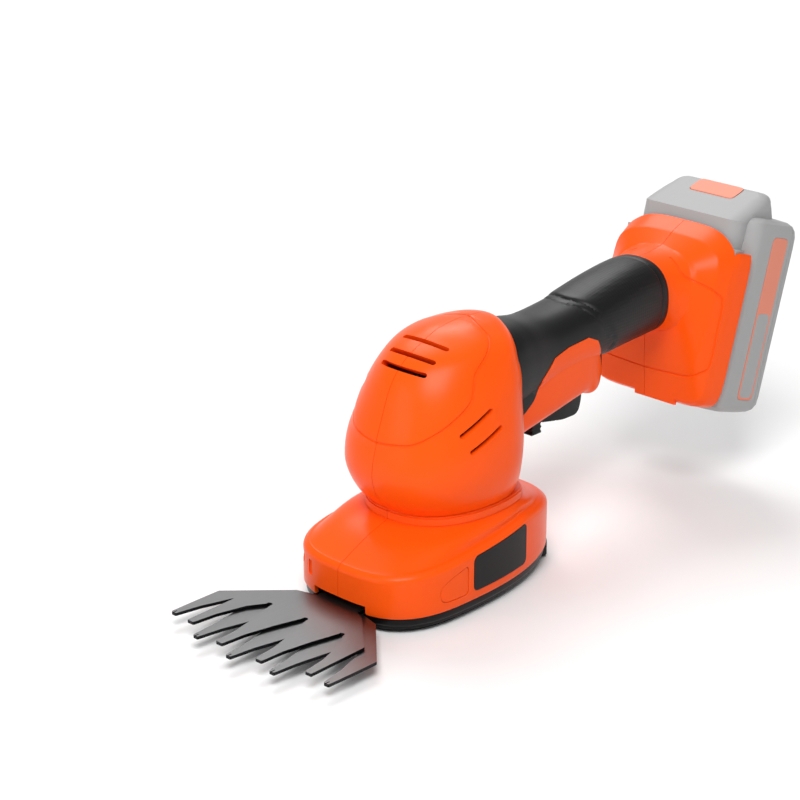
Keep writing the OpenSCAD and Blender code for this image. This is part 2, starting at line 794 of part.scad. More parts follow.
module blade_bolt() {
    head_h = fixed_z - sole_floor - 0.5;
    color(steel) translate([pivot_x, 0, 0]) {
        translate([0, 0, fixed_z - head_h - seat_clear]) cylinder(r = bolt_r + 3, h = head_h);
        translate([0, 0, fixed_z - head_h]) cylinder(r = bolt_r, h = plate_top + 4.4 - fixed_z + head_h);
        translate([0, 0, moving_top + 0.1])
            cylinder(r = bolt_r + 3, h = plate_z - moving_top - 0.1 - seat_clear);
        translate([0, 0, plate_top + seat_clear]) cylinder(r = bolt_r + 2.6, h = 3.4, $fn = 6);
    }
}

module blade_screws() {
    head_h = 1.6;
    color(steel) for (p = spacer_places) translate([p[0], p[1], 0]) {
        translate([0, 0, fixed_z - head_h - seat_clear]) cylinder(r = screw_head_r, h = head_h);
        translate([0, 0, fixed_z - head_h]) cylinder(r = screw_r, h = plate_top + 2 - fixed_z + head_h);
        translate([0, 0, fixed_z + blade_t + seat_clear])
            cylinder(r = post_r, h = plate_z - fixed_z - blade_t - 2 * seat_clear);
    }
}

// Base plate with the boss of the lower bush and the posts of the gear cover
bush_t = 3;
cam_flange_r = cam_pin_r + cam_throw + 0.4;
module base_plate() {
    color(steel) difference() {
        union() {
            translate([plate_front, -plate_half_w, plate_z])
                cube([plate_rear - plate_front, 2 * plate_half_w, plate_t]);
            translate([spindle_x, 0, plate_top])
                cylinder(r = spindle_r + bush_t + 3, h = gear_z - plate_top - 0.5);
            for (p = post_places) translate([p[0], p[1], plate_top])
                cylinder(r = post_r, h = cover_z - plate_top);
        }
        translate([spindle_x, 0, plate_z - 1]) cylinder(r = spindle_r + bush_t + run_clear, h = 20);
        translate([pivot_x, 0, plate_z - 1]) cylinder(r = bolt_r + seat_clear, h = 9);
        for (p = spacer_places) translate([p[0], p[1], plate_z - 1])
            cylinder(r = screw_r + seat_clear, h = 9);
        for (p = post_places) translate([p[0], p[1], plate_top + 1])
            cylinder(r = screw_r + seat_clear, h = 40);
    }
}

module gear_cover() {
    color(steel) translate([0, 0, cover_z + seat_clear]) difference() {
        linear_extrude(cover_t - seat_clear) polygon([[cover_front, -20], [cover_front + 8, -plate_half_w],
            [plate_rear + 2, -plate_half_w], [plate_rear + 2, plate_half_w],
            [cover_front + 8, plate_half_w], [cover_front, 20]]);
        translate([spindle_x, 0, -1]) cylinder(r = spindle_r + bush_t + run_clear, h = 9);
        translate([motor_x, 0, -1]) cylinder(r = gear_module * (pinion_teeth / 2 + 1) + 0.8, h = 9);
        for (p = post_places) translate([p[0], p[1], -1]) cylinder(r = screw_r + seat_clear, h = 9);
    }
}

module gearbox_screws() {
    color(steel) for (p = post_places) translate([p[0], p[1], 0]) {
        translate([0, 0, plate_top + 2]) cylinder(r = screw_r, h = cover_top - plate_top);
        translate([0, 0, cover_top + seat_clear]) cylinder(r = screw_head_r, h = 2.2);
    }
}

// Spindle: the eccentric pin below its flange, the journal above
module spindle() {
    color(steel) translate([spindle_x, 0, 0]) {
        rotate(cam_angle) translate([cam_throw, 0, moving_z + 0.2])
            cylinder(r = cam_pin_r, h = plate_z + 0.4 - moving_z - 0.2);
        translate([0, 0, plate_z + 0.2]) cylinder(r = cam_flange_r, h = 2);
        translate([0, 0, plate_z + 2]) cylinder(r = spindle_r, h = cover_top - plate_z - 2.6);
    }
}

// Involute gear outline: half of a tooth's angle at a radius, then the teeth
pressure_angle = 25;
backlash = 0.05;
function involute(a) = tan(a) - a * PI / 180;
function half_tooth(teeth, r) =
    let (pitch_r = gear_module * teeth / 2, base_r = pitch_r * cos(pressure_angle),
         at_r = acos(min(1, base_r / max(r, base_r))))
    (PI / 2 / teeth - backlash / pitch_r + involute(pressure_angle) - involute(at_r)) * 180 / PI;
module gear_outline(teeth) {
    pitch_r = gear_module * teeth / 2;
    rs = [pitch_r - 1.1 * gear_module, pitch_r - 0.4 * gear_module, pitch_r + 0.2 * gear_module,
        pitch_r + 0.8 * gear_module];
    polygon([for (i = [0:teeth - 1], k = [0:7]) let (r = rs[k < 4 ? k : 7 - k], a = half_tooth(teeth, r))
        r * [cos(360 * i / teeth + (k < 4 ? -a : a)), sin(360 * i / teeth + (k < 4 ? -a : a))]]);
}

module drive_gear() {
    color(steel) translate([spindle_x, 0, gear_z]) difference() {
        linear_extrude(gear_w) gear_outline(gear_teeth);
        translate([0, 0, -1]) cylinder(r = spindle_r + run_clear, h = gear_w + 2);
        for (i = [0:5]) rotate(60 * i) translate([0.3 * gear_module * gear_teeth, 0, -1])
            cylinder(r = 4, h = gear_w + 2);
    }
}

module bush(z, h) {
    color([0.72, 0.52, 0.26]) translate([spindle_x, 0, z]) difference() {
        cylinder(r = spindle_r + bush_t, h = h);
        translate([0, 0, -1]) cylinder(r = spindle_r + run_clear, h = h + 2);
    }
}

module lower_bush() {
    bush(plate_z + 2.4, gear_z - plate_z - 2.6);
}

module upper_bush() {
    bush(cover_z + 0.3, cover_t - 0.3);
}

// Motor, with its shaft upright
can_t = 1.8;
magnet_t = 3;
armature_r = motor_r - can_t - magnet_t - 0.9;
module motor_can() {
    color(steel) translate([motor_x, 0, motor_z]) difference() {
        cylinder(r = motor_r, h = motor_len);
        translate([0, 0, 4]) cylinder(r = motor_r - can_t, h = motor_len);
        translate([0, 0, -1]) cylinder(r = shaft_r + run_clear, h = 9);
    }
}

module motor_cap() {
    color(black) translate([motor_x, 0, motor_top + seat_clear]) difference() {
        union() {
            cylinder(r = motor_r, h = cap_h);
            for (y = [-5, 5]) translate([motor_r - 4, y - 2, 1]) cube([7, 4, 2]);
        }
        translate([0, 0, -1]) cylinder(r = shaft_r + run_clear, h = 20);
    }
}

module motor_magnets() {
    outer = motor_r - can_t - seat_clear;
    color([0.25, 0.25, 0.27]) translate([motor_x, 0, motor_z + 8]) for (turn = [30, 210])
        rotate(turn) rotate_extrude(angle = 120)
            translate([outer - magnet_t, 0]) square([magnet_t, motor_len - 16]);
}

module rotor_shaft() {
    color(steel) translate([motor_x, 0, gear_z - 1]) cylinder(r = shaft_r, h = fan_z + fan_h - gear_z + 2);
}

module armature() {
    color([0.6, 0.35, 0.2]) translate([motor_x, 0, motor_z + 9]) difference() {
        union() {
            cylinder(r = armature_r, h = motor_len - 20);
            cylinder(r = 8, h = motor_len - 11);
        }
        translate([0, 0, -1]) cylinder(r = shaft_r + run_clear, h = motor_len);
        for (i = [0:4]) rotate(72 * i) translate([armature_r - 3, -0.8, -1]) cube([6, 1.6, motor_len - 18]);
    }
}

module pinion() {
    color(steel) translate([motor_x, 0, gear_z + 0.5]) difference() {
        rotate(180 + 180 / pinion_teeth) linear_extrude(gear_w) gear_outline(pinion_teeth);
        translate([0, 0, -1]) cylinder(r = shaft_r + run_clear, h = gear_w + 2);
    }
}

module fan() {
    color(black) translate([motor_x, 0, fan_z]) difference() {
        union() {
            cylinder(r = 7, h = fan_h);
            cylinder(r = fan_r, h = 1.4);
            for (i = [0:8]) rotate(40 * i) translate([5, -0.7, 0]) cube([fan_r - 6, 1.4, fan_h]);
        }
        translate([0, 0, -1]) cylinder(r = shaft_r + run_clear, h = fan_h + 2);
    }
}

// Trigger with its pivot lug and the nose that works the switch
module trigger() {
    half_w = trigger_w / 2;
    low = trigger_low;
    color(black) difference() {
        union() {
            slab(-half_w, half_w) polygon([[trigger_x - 3, trigger_z + 4], [trigger_x - 4, trigger_z],
                [trigger_x - 2, trigger_z - 3.6], [trigger_front, trigger_z - 4.6],
                [trigger_front, low + 3.5], [trigger_front + 5, low + 1], [trigger_front + 11, low],
                [trigger_rear - 4.5, low], [trigger_rear - 2, low + 2], [trigger_rear - 0.5, low + 7.5],
                [trigger_rear, low + 16], [trigger_rear, trigger_pad_z], [trigger_x + 4, trigger_pad_z],
                [trigger_x + 3, trigger_z + 4]]);
            translate([switch_x + 12, -3, trigger_pad_z - 1]) cube([4, 6, 6.4]);
            for (side = [-1, 1]) slab(side > 0 ? lip_y : -half_w, side > 0 ? half_w : -lip_y)
                polygon([[lip_x, low + 5], [lip_x + 1.5, low + 3.2], [trigger_front + 5, low + 1],
                    [trigger_front + 5, low + 7.2], [lip_x, low + 7.2]]);
        }
        cross_rod(trigger_x, trigger_z, pin_r + run_clear, -big, big);
    }
}

module trigger_pin() {
    color(steel) cross_rod(trigger_x, trigger_z, pin_r, -15, 15);
}

module trigger_spring() {
    color(steel) translate([switch_x + 22, 0, trigger_pad_z + 0.1])
        coil_spring(2.8, switch_z - trigger_pad_z - 0.2, 4, 0.45);
}

module switch_body() {
    color([0.2, 0.2, 0.22]) difference() {
        translate([switch_x, -switch_half_w, switch_z]) cube([switch_len, 2 * switch_half_w, switch_h]);
        translate([switch_x + 9.5, -4, switch_z - 1]) cube([9, 8, 6]);
    }
}

// Lock-off tab: a ribbed thumb piece below the belly and a foot inside it
module lock_tab() {
    half_w = lock_w / 2;
    color(black) {
        translate([lock_x, -half_w, lock_low + 1]) cube([lock_len, lock_w, lock_top - lock_low - 1]);
        translate([lock_x - lock_heel, -half_w - lock_ear, lock_floor])
            cube([lock_len + lock_heel, lock_w + 2 * lock_ear, lock_top - lock_floor]);
        translate([lock_x - lock_heel, -half_w, lock_floor])
            cube([lock_heel_t, lock_w, lock_spring_z + 2.8 - lock_floor]);
        for (i = [0:3]) translate([lock_x - 0.8, -half_w, lock_low + 2.6 * i])
            cube([lock_len + 1.4, lock_w, 1.3]);
    }
}

module lock_spring() {
    color(steel) translate([lock_rib + spring_gap, 0, lock_spring_z]) rotate([0, 90, 0])
        coil_spring(2, lock_x - lock_heel - lock_rib - 2 * spring_gap, 5, 0.4);
}

module control_board() {
    color([0.1, 0.35, 0.2]) {
        translate([board_x, -board_half_w, board_z]) cube([board_len, 2 * board_half_w, board_t]);
        for (p = [[8, -6], [16, 4], [22, -3]])
            translate([board_x + p[0], p[1] - 2.5, board_z + board_t]) cube([5, 5, 3]);
    }
}

module terminal_block() {
    color(black) tilted() difference() {
        translate([block_front, -block_half_w, block_low])
            cube([block_back - block_front, 2 * block_half_w, block_high - block_low]);
        for (y = blade_places) translate([block_front + 3, y - contact_t / 2 - 0.05, block_low + 6])
            cube([20, contact_t + 0.1, 16]);
    }
}

module terminal_blades() {
    color(steel) tilted() for (y = blade_places)
        translate([block_front + 3.1, y - contact_t / 2, block_low + 6.1]) cube([12, contact_t, 15.8]);
}

// Wire of six sides through a list of points
wire_r = 1.1;
function unit(v) = v / norm(v);
function wire_ring(pts, i) =
    let (last = len(pts) - 1, t = unit(pts[min(i + 1, last)] - pts[max(i - 1, 0)]),
         s = unit(cross(t, [0, 1, 0])), n = cross(s, t))
    [for (k = [0:5]) pts[i] + wire_r * (cos(60 * k) * s + sin(60 * k) * n)];
module wire(pts) {
    skin([for (i = [len(pts) - 1:-1:0]) wire_ring(pts, i)]);
}

// Where the supply leads leave the terminal block
lead_u = block_low + 14.7;
lead_x = (block_front - 0.3) * cos(dock_tilt) + lead_u * sin(dock_tilt);
lead_z = lead_u * cos(dock_tilt) - (block_front - 0.3) * sin(dock_tilt);
module supply_leads() {
    color([0.6, 0.1, 0.1]) for (y = [-8, 8]) {
        wire([[lead_x, y, lead_z], [lead_x - 4.4, y, lead_z + 1.4], [lead_x - 11.4, y, lead_z + 3.8],
            [board_x + board_len + 4, y, board_z + 0.8], [board_x + board_len + 0.2, y, board_z + 0.8]]);
        wire([[board_x - 0.2, y / 2, board_z + 0.8], [82, y / 2, board_z + 0.4], [78, y / 2, 101],
            [switch_x + switch_len + 0.2, y / 2, 101]]);
    }
}

module motor_leads() {
    end_x = motor_x + motor_r + 3.4;
    end_z = motor_top + seat_clear + 2;
    color([0.1, 0.1, 0.1]) for (y = [-5, 5])
        wire([[switch_x - 0.2, y, 98], [40, y, 98], [30, y, 97.5], [20, y, 95.5], [14, y, end_z + 0.6],
            [end_x, y, end_z]]);
}

// Battery pack, in the tilted frame: its side view and its plan
module pack_side(inset) {
    tip = toe_front + 2.2 * inset;
    toe_low = inset > 0 ? dock_high + 0.5 + inset : dock_high - 16;
    polygon([[pack_front + inset, pack_low + 3 + inset], [pack_front + 3 + inset, pack_low + inset],
        [pack_back - 10, pack_low + inset], [pack_back - 3 - inset / 2, pack_low + 3 + inset / 2],
        [pack_back - inset, pack_low + 10], [pack_back - inset, pack_top - 8],
        [pack_back - 2 - inset, pack_top - 3 - inset],
        [toe_back + 4 - inset, pack_top + 0.5 - inset], [toe_back - inset, pack_top + 4 - inset],
        [toe_back - 1 - inset, toe_top - 1.5 - inset], [toe_back - 3 - inset, toe_top - inset],
        [ramp_back + 0.3 * inset, toe_top - inset], [tip, ramp(tip) - ramp_wall * inset / pack_wall],
        [tip, toe_low], [pack_front + inset, toe_low]]);
}

module pack_plan(inset) {
    half_w = pack_half_w - inset;
    back = pack_back - inset;
    r = 8 - inset;
    arc = [for (a = [0:15:90]) [back - r + r * sin(a), half_w - r + r * cos(a)]];
    polygon(concat([[100, -half_w], [100, half_w]], arc, [for (i = [6:-1:0]) [arc[i][0], -arc[i][1]]]));
}

module pack_body(inset) {
    toe_y = toe_half_w - inset;
    difference() {
        intersection() {
            slab(-60, 60) pack_side(inset);
            translate([0, 0, 50]) linear_extrude(180) pack_plan(inset);
        }
        for (side = [-1, 1]) translate([100, side > 0 ? toe_y : -60, pack_top + 2 - inset])
            cube([100, 60 - toe_y, 40]);
    }
}

module pack_front_shell() {
    rail_half_w = channel_half_w - slide_clear;
    neck_half = lip_half_w - slide_clear;
    rail_front = dock_back + 0.4;
    color(pale) tilted() difference() {
        union() {
            difference() {
                pack_body(0);
                pack_body(pack_wall);
                for (back = [0, 1]) translate([back, 0, 0]) dock_form(-slide_clear);
            }
            translate([rail_front, -rail_half_w, rail_low])
                cube([lip_front - 0.4 - rail_front, 2 * rail_half_w, rail_high - rail_low]);
            translate([rail_front, -neck_half, rail_low])
                cube([pack_front + 0.5 - rail_front, 2 * neck_half, rail_high - rail_low]);
            intersection() {
                pack_body(0);
                translate([pack_front, -60, shelf_u - 2]) cube([shelf_back - pack_front, 120, 2]);
            }
        }
        translate([rail_front + 2.4, 3 - neck_half, rail_low + 3])
            cube([20, 2 * neck_half - 6, rail_high - rail_low - 6]);
        for (y = blade_places) translate([rail_front - 1, y - 1.7, rail_low - 1]) cube([7.5, 3.4, 46]);
        hole_w = pack_button_w + 2 * slide_clear;
        hole_half_y = pack_button_half_y + slide_clear;
        translate([pack_button_v - hole_w / 2, -hole_half_y, flange_top + 0.1])
            cube([hole_w, 2 * hole_half_y, toe_top]);
        for (side = [-1, 1]) pack_label_solid(side, seat_clear);
        translate([pack_split - seat_clear / 2, -60, 0]) cube(big);
    }
}

module pack_rear_shell() {
    color(pale) tilted() difference() {
        union() {
            difference() {
                pack_body(0);
                pack_body(pack_wall);
            }
            for (y = [-22, 18]) intersection() {
                pack_body(0);
                translate([pack_split, y, pack_low]) cube([20, 4, pack_len]);
            }
        }
        for (i = [0:cell_count - 1]) translate([cell_v, 0, cell_u + cell_pitch * i]) rotate([90, 0, 0])
            cylinder(r = cell_r + seat_clear, h = cell_len + 2, center = true);
        translate([pack_split + seat_clear / 2 - big, -60, 0]) cube(big);
    }
}

module pack_label_solid(side, gap) {
    y = pack_half_w - label_t / 2 - gap;
    translate([label_v - gap, side > 0 ? y : -y - label_t - gap, label_low - gap])
        cube([label_w + 2 * gap, label_t + gap, label_high - label_low + 2 * gap]);
}

module pack_label_left() {
    color(salmon) tilted() pack_label_solid(-1, 0);
}

module pack_label_right() {
    color(salmon) tilted() pack_label_solid(1, 0);
}

module pack_cells() {
    color([0.2, 0.45, 0.35]) tilted() for (i = [0:cell_count - 1])
        translate([cell_v, 0, cell_u + cell_pitch * i]) rotate([90, 0, 0])
            cylinder(r = cell_r, h = cell_len, center = true);
}

// Board of the pack, with a pair of contact clips for each blade of the dock
module pack_board() {
    board_v = pack_front + pack_wall + 0.1;
    clip_gap = contact_t / 2 + slide_clear;
    color([0.1, 0.35, 0.2]) tilted() {
        translate([board_v, 2 - pack_half_w + pack_wall, rail_low + 1])
            cube([1.6, 2 * (pack_half_w - pack_wall - 2), rail_high - rail_low - 4]);
        for (y = blade_places, side = [-1, 1])
            translate([dock_back + 3.4, y + side * (clip_gap + 0.3) - 0.3, block_low + 6])
                cube([board_v - dock_back - 3, 0.6, 14]);
    }
}

module pack_button() {
    near = pack_button_v - pack_button_w / 2;
    far = pack_button_v + pack_button_w / 2;
    low = flange_top - flange_t;
    color(salmon) tilted() {
        slab(-pack_button_half_y, pack_button_half_y)
            polygon([[near, low + 0.5], [far, low + 0.5], [far, ramp(far) + 0.5], [near, ramp(near) + 0.5]]);
        translate([near - 1, -pack_button_half_y - 1.5, low])
            cube([pack_button_w + 2, 2 * pack_button_half_y + 3, flange_t]);
    }
}

module pack_button_spring() {
    color(steel) tilted() translate([pack_button_v, 0, shelf_u + spring_gap])
        coil_spring(3.6, flange_top - flange_t - shelf_u - 2 * spring_gap, 2, 0.45);
}

left_housing();
right_housing();
left_grip();
right_grip();
badge_plate();
housing_screws();
sole_cover();
left_release_button();
right_release_button();
left_release_spring();
right_release_spring();
fixed_blade();
moving_blade();
blade_bolt();
blade_screws();
base_plate();
gear_cover();
gearbox_screws();
spindle();
drive_gear();
lower_bush();
upper_bush();
motor_can();
motor_cap();
motor_magnets();
rotor_shaft();
armature();
pinion();
fan();
trigger();
trigger_pin();
trigger_spring();
switch_body();
lock_tab();
lock_spring();
control_board();
terminal_block();
terminal_blades();
supply_leads();
motor_leads();
pack_front_shell();
pack_rear_shell();
pack_cells();
pack_board();
pack_button();
pack_button_spring();
pack_label_left();
pack_label_right();
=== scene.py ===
import json
import math

import bmesh
import bpy
import numpy as np
from mathutils import Matrix, Vector
from mathutils.bvhtree import BVHTree


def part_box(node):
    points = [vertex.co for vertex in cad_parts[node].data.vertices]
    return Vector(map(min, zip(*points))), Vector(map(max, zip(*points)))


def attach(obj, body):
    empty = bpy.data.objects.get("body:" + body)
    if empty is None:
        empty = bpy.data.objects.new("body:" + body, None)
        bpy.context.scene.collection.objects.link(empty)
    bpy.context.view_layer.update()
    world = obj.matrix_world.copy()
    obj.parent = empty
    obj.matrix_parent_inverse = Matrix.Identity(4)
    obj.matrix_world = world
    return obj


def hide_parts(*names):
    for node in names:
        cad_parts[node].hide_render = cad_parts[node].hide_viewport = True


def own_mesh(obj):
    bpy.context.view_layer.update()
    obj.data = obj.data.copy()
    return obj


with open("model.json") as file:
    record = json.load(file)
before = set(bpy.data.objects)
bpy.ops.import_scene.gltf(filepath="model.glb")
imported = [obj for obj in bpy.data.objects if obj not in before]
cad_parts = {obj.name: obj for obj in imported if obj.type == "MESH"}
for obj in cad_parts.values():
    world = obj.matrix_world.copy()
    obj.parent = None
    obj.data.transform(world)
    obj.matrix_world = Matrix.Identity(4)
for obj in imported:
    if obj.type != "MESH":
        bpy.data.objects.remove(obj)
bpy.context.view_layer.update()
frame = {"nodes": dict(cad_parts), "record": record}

scene = bpy.context.scene
MM = 0.001


def box_mm(node):
    """Lowest and highest corner of a solid, in millimetres."""
    low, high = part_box(node)
    return np.array(low) / MM, np.array(high) / MM


# Sizes shared with the solids, in millimetres
housing_low = box_mm("left_housing")[0]
BASE_FRONT = -housing_low[0]
BASE_HALF_W = -housing_low[1]
SOLE_H = housing_low[2]
BASE_MID = -42
BASE_REAR = 40
BASE_SLOPE = 0.08
RIM_Z = 28 + BASE_SLOPE * (BASE_FRONT + BASE_MID)
NECK_Z = 41
NECK_FRONT = -59.5
NECK_MID = -18
NECK_REAR = 19
NECK_HALF_W = 33
HEAD_FRONT = 69
HEAD_HALF_W = 40
HANDLE_HALF_W = 20.5
HANDLE_POWER = 2.4
BELLY_POWER = 4.2
GRIP_T = 1.8
WALL = 2.4
SEAM = 0.13
TILT = math.radians(17)
DOCK_HALF_W = 39
DOCK_BACK = 113.5
LIP_FRONT = 121
CHANNEL_HALF_W = DOCK_HALF_W - 3.7
LIP_HALF_W = CHANNEL_HALF_W - 3.5
RING_N = 160
INNER_N = 56
PIN_X, PIN_Z = 44, 82
PIN_HOLE_R = 2.05
BOSS_R = 4.5
SCREW_R = 1.75
SCREW_HEAD_R = 3.4
CREASE_R = 0.6
SIDES = ((-60, -31), (31, 60))

# Rows of the head: height, setback of the front, middle, rear, narrowing, power
HEAD_KEYS = [
    [46, 10.5, -18, 15.5, 8.5, 2.3], [53, 4, -19, 14, 4, 2.3], [62, 0.3, -20, 13, 1, 2.4],
    [70, 0, -20, 13, 0, 2.4], [80, 2.5, -19, 13, 0.5, 2.4], [92, 7, -16, 12.5, 3, 2.3],
    [104, 11.7, -12, 12, 5.5, 2.1], [112, 17, -10, 11, 8.5, 2], [118, 24.5, -8, 11, 12, 2],
    [122.5, 34.5, -6, 11, 17.5, 2], [126, 43.5, -4, 10, 26, 2], [127.5, 55, -3, 5, 33, 2],
    [127.9, 62, -3, 1, 38.5, 2],
]
# Rows of the handle: x, top, low, widening
HANDLE_KEYS = [
    [-6, 116, 80, 2], [10, 120.5, 77, 2.5], [23, 120, 78, 1.5], [40, 117.5, 81, 0],
    [62, 119, 84, -0.5], [72, 121, 85, -0.3], [93, 125, 87, 0.1], [112, 127.5, 88, 0.1],
    [124, 127.5, 88.5, -0.2], [142, 125, 89, -1.5],
]
# Rows of the belly under the handle: x, top, low, half width
BELLY_KEYS = [
    [4, 103, 60, 18], [20, 105, 64, 19.5], [40, 106, 68, 19.7], [60, 106, 71.5, 19],
    [67, 105, 72.2, 18.4], [71.5, 103.5, 70, 17.8], [75.5, 101, 70.5, 16.6], [78.5, 98, 74.5, 14.4],
    [79.8, 95, 79, 10],
]
# Rows of the dock, in the leaning frame of the pack: depth, top, low, narrowing, power
DOCK_KEYS = [
    [94, 160, 130, 17, 3], [98, 164.5, 128, 12.7, 5], [105, 172.7, 106.5, 5.4, 14],
    [112, 178.4, 88.4, 2.4, 16], [116.5, 182, 87, 1.3, 18], [124, 182, 87, 0, 18],
]
GRIP_OUTLINE = [
    (-20, 150), (123.5, 150), (123.5, 70), (79, 70), (77, 84), (74, 92), (68.5, 101.5),
    (62, 104.5), (47, 103.5), (36, 101), (27, 93), (22, 83), (14, 76.5), (9, 84), (0, 96),
    (-20, 100),
]
SCREWS = [(-84, 22), (26, 22), (-50, 62), (14, 69), (-46, 100), (13, 113), (80, 112)]
DOCK_SCREWS = [(109.2, 164), (109.2, 114)]


# Building blocks, in millimetres
def solid(name, points, faces):
    mesh = bpy.data.meshes.new(name)
    mesh.from_pydata([tuple(float(v) * MM for v in p) for p in points], [], faces)
    work = bmesh.new()
    work.from_mesh(mesh)
    bmesh.ops.recalc_face_normals(work, faces=work.faces)
    work.to_mesh(mesh)
    work.free()
    piece = bpy.data.objects.new(name, mesh)
    scene.collection.objects.link(piece)
    return piece


def loft(name, rings):
    """A closed skin over a row of rings with equal counts of points."""
    n = len(rings[0])
    last = len(rings) - 1
    faces = [tuple(range(n)), tuple(range(last * n, last * n + n))]
    for r in range(last):
        for i in range(n):
            j = (i + 1) % n
            faces.append((r * n + i, r * n + j, (r + 1) * n + j, (r + 1) * n + i))
    return solid(name, np.concatenate(rings), faces)


def prism(name, outline, low, high, plane="xz"):
    """An outline drawn in one plane, drawn out along the third axis."""
    def point(p, t):
        return (p[0], t, p[1]) if plane == "xz" else (p[0], p[1], t)
    return loft(name, [[point(p, t) for p in outline] for t in (low, high)])


def block(name, low, high):
    outline = [(low[0], low[2]), (high[0], low[2]), (high[0], high[2]), (low[0], high[2])]
    return prism(name, outline, low[1], high[1])


def tube(name, path, radius, n=12):
    """A round bar along a path."""
    path = np.asarray(path, float)
    ahead = np.gradient(path, axis=0)
    rings = []
    side = np.cross(ahead[0], (0.31, 0.2, 0.93))
    for p, t in zip(path, ahead):
        t = t / np.linalg.norm(t)
        side = side - t * (side @ t)
        side = side / np.linalg.norm(side)
        other = np.cross(t, side)
        rings.append([p + radius * (math.cos(a) * side + math.sin(a) * other)
                      for a in np.arange(n) * 2 * math.pi / n])
    return loft(name, rings)


def rod(name, start, end, radius, n=40):
    return tube(name, [start, (np.array(start) + np.array(end)) / 2, end], radius, n)


def turn(piece):
    """Leans a piece from the frame of the battery pack into the frame of the tool."""
    piece.data.transform(Matrix.Rotation(TILT, 4, "Y"))
    return piece


def bake(piece):
    """Applies a piece's modifiers to its mesh."""
    graph = bpy.context.evaluated_depsgraph_get()
    mesh = bpy.data.meshes.new_from_object(piece.evaluated_get(graph))
    piece.modifiers.clear()
    piece.data = mesh
    return piece


def combine(piece, operation, *tools):
    """Joins, cuts or crosses a piece with tools, and uses the tools up."""
    for tool in tools:
        cut = piece.modifiers.new("cut", "BOOLEAN")
        cut.operation = operation
        cut.solver = "MANIFOLD"
        cut.object = tool
    bake(piece)
    for tool in tools:
        bpy.data.objects.remove(tool)
    return piece


def twin(piece, name):
    other = bpy.data.objects.new(name, piece.data.copy())
    scene.collection.objects.link(other)
    return other


def spow(v, e):
    """A power that keeps the sign."""
    return np.sign(v) * np.abs(v) ** e


def smooth(keys, steps):
    """Rows through the key rows, along a cubic curve."""
    keys = np.asarray(keys, float)
    last = len(keys) - 1
    rows = []
    for i in range(last):
        a, b, c, d = keys[max(i - 1, 0)], keys[i], keys[i + 1], keys[min(i + 2, last)]
        for t in np.arange(steps) / steps:
            rows.append(b + t * ((c - a) / 2 + t * (a - 2.5 * b + 2 * c - d / 2
                                                     + t * (1.5 * (b - c) + (d - a) / 2))))
    return rows + [keys[last]]


def stack_ring(row, n, inset=0):
    """A level section of the base, neck or head."""
    z, front, mid, rear, half, front_power, rear_power, slope = row
    a = np.arange(n) * 2 * math.pi / n
    c, s = np.cos(a), np.sin(a)
    e = 2 / np.where(c < 0, front_power, rear_power)
    x = mid + (np.where(c < 0, mid - front, rear - mid) - inset) * spow(c, e)
    return np.column_stack([x, (half - inset) * spow(s, e), z + slope * (x - mid)])


def tube_ring(row, n, inset=0):
    """An upright section of the handle or belly."""
    x, top, low, half, power = row
    a = np.arange(n) * 2 * math.pi / n
    y = (half - inset) * spow(np.cos(a), 2 / power)
    z = (top + low) / 2 + ((top - low) / 2 - inset) * spow(np.sin(a), 2 / power)
    return np.column_stack([np.full(n, x), y, z])


def rounded(outline, radius, steps=5):
    """An outline with its corners rounded."""
    pts = [np.array(p, float) for p in outline]
    out = []
    for i, corner in enumerate(pts):
        arms = []
        for other in (pts[i - 1], pts[(i + 1) % len(pts)]):
            way = other - corner
            size = np.linalg.norm(way)
            arms.append(corner + way / size * min(radius, 0.45 * size))
        for t in np.linspace(0, 1, steps):
            out.append(tuple((1 - t) ** 2 * arms[0] + 2 * t * (1 - t) * corner + t * t * arms[1]))
    return out


def grown(outline, gap):
    """A convex outline, its edges moved out by a gap."""
    pts = np.array(outline, float)
    back, ahead = pts - np.roll(pts, 1, 0), np.roll(pts, -1, 0) - pts
    area = np.sum(pts[:, 0] * np.roll(pts[:, 1], -1) - np.roll(pts[:, 0], -1) * pts[:, 1])
    turn_out = np.array([1, -1]) * np.sign(area)
    n1 = back[:, ::-1] * turn_out / np.linalg.norm(back, axis=1)[:, None]
    n2 = ahead[:, ::-1] * turn_out / np.linalg.norm(ahead, axis=1)[:, None]
    mitre = (n1 + n2) / (1 + np.sum(n1 * n2, axis=1))[:, None]
    return [tuple(p) for p in pts + gap * mitre]


def ribbon(path, radius, steps=7):
    """Outline of a flat band along a path, with round ends."""
    path = np.asarray(path, float)
    ahead = np.gradient(path, axis=0)
    ahead /= np.linalg.norm(ahead, axis=1)[:, None]
    left = np.column_stack([-ahead[:, 1], ahead[:, 0]])
    near, far = math.atan2(*left[-1][::-1]), math.atan2(*-left[0][::-1])
    end = [path[-1] + radius * np.array([math.cos(near - a), math.sin(near - a)])
           for a in np.linspace(0, math.pi, steps)[1:-1]]
    start = [path[0] + radius * np.array([math.cos(far - a), math.sin(far - a)])
             for a in np.linspace(0, math.pi, steps)[1:-1]]
    return list(path + radius * left) + end + list((path - radius * left)[::-1]) + start


# Forms of the body
def base_row(z, inset, slope=0.0):
    return [z, inset - BASE_FRONT, BASE_MID, BASE_REAR - inset, BASE_HALF_W - inset, 3, 2.2, slope]


def neck_row(z, grow):
    return [z, NECK_FRONT - grow, NECK_MID, NECK_REAR + grow, NECK_HALF_W + grow, 2.4, 2.3, 0]


def head_row(key, drop=0.0):
    z, setback, mid, rear, narrowing, power = key
    z -= drop * min(max((z - 92) / 20, 0), 1)
    return [z, setback - HEAD_FRONT, mid, rear, HEAD_HALF_W - narrowing, power, min(power, 2.05), 0]


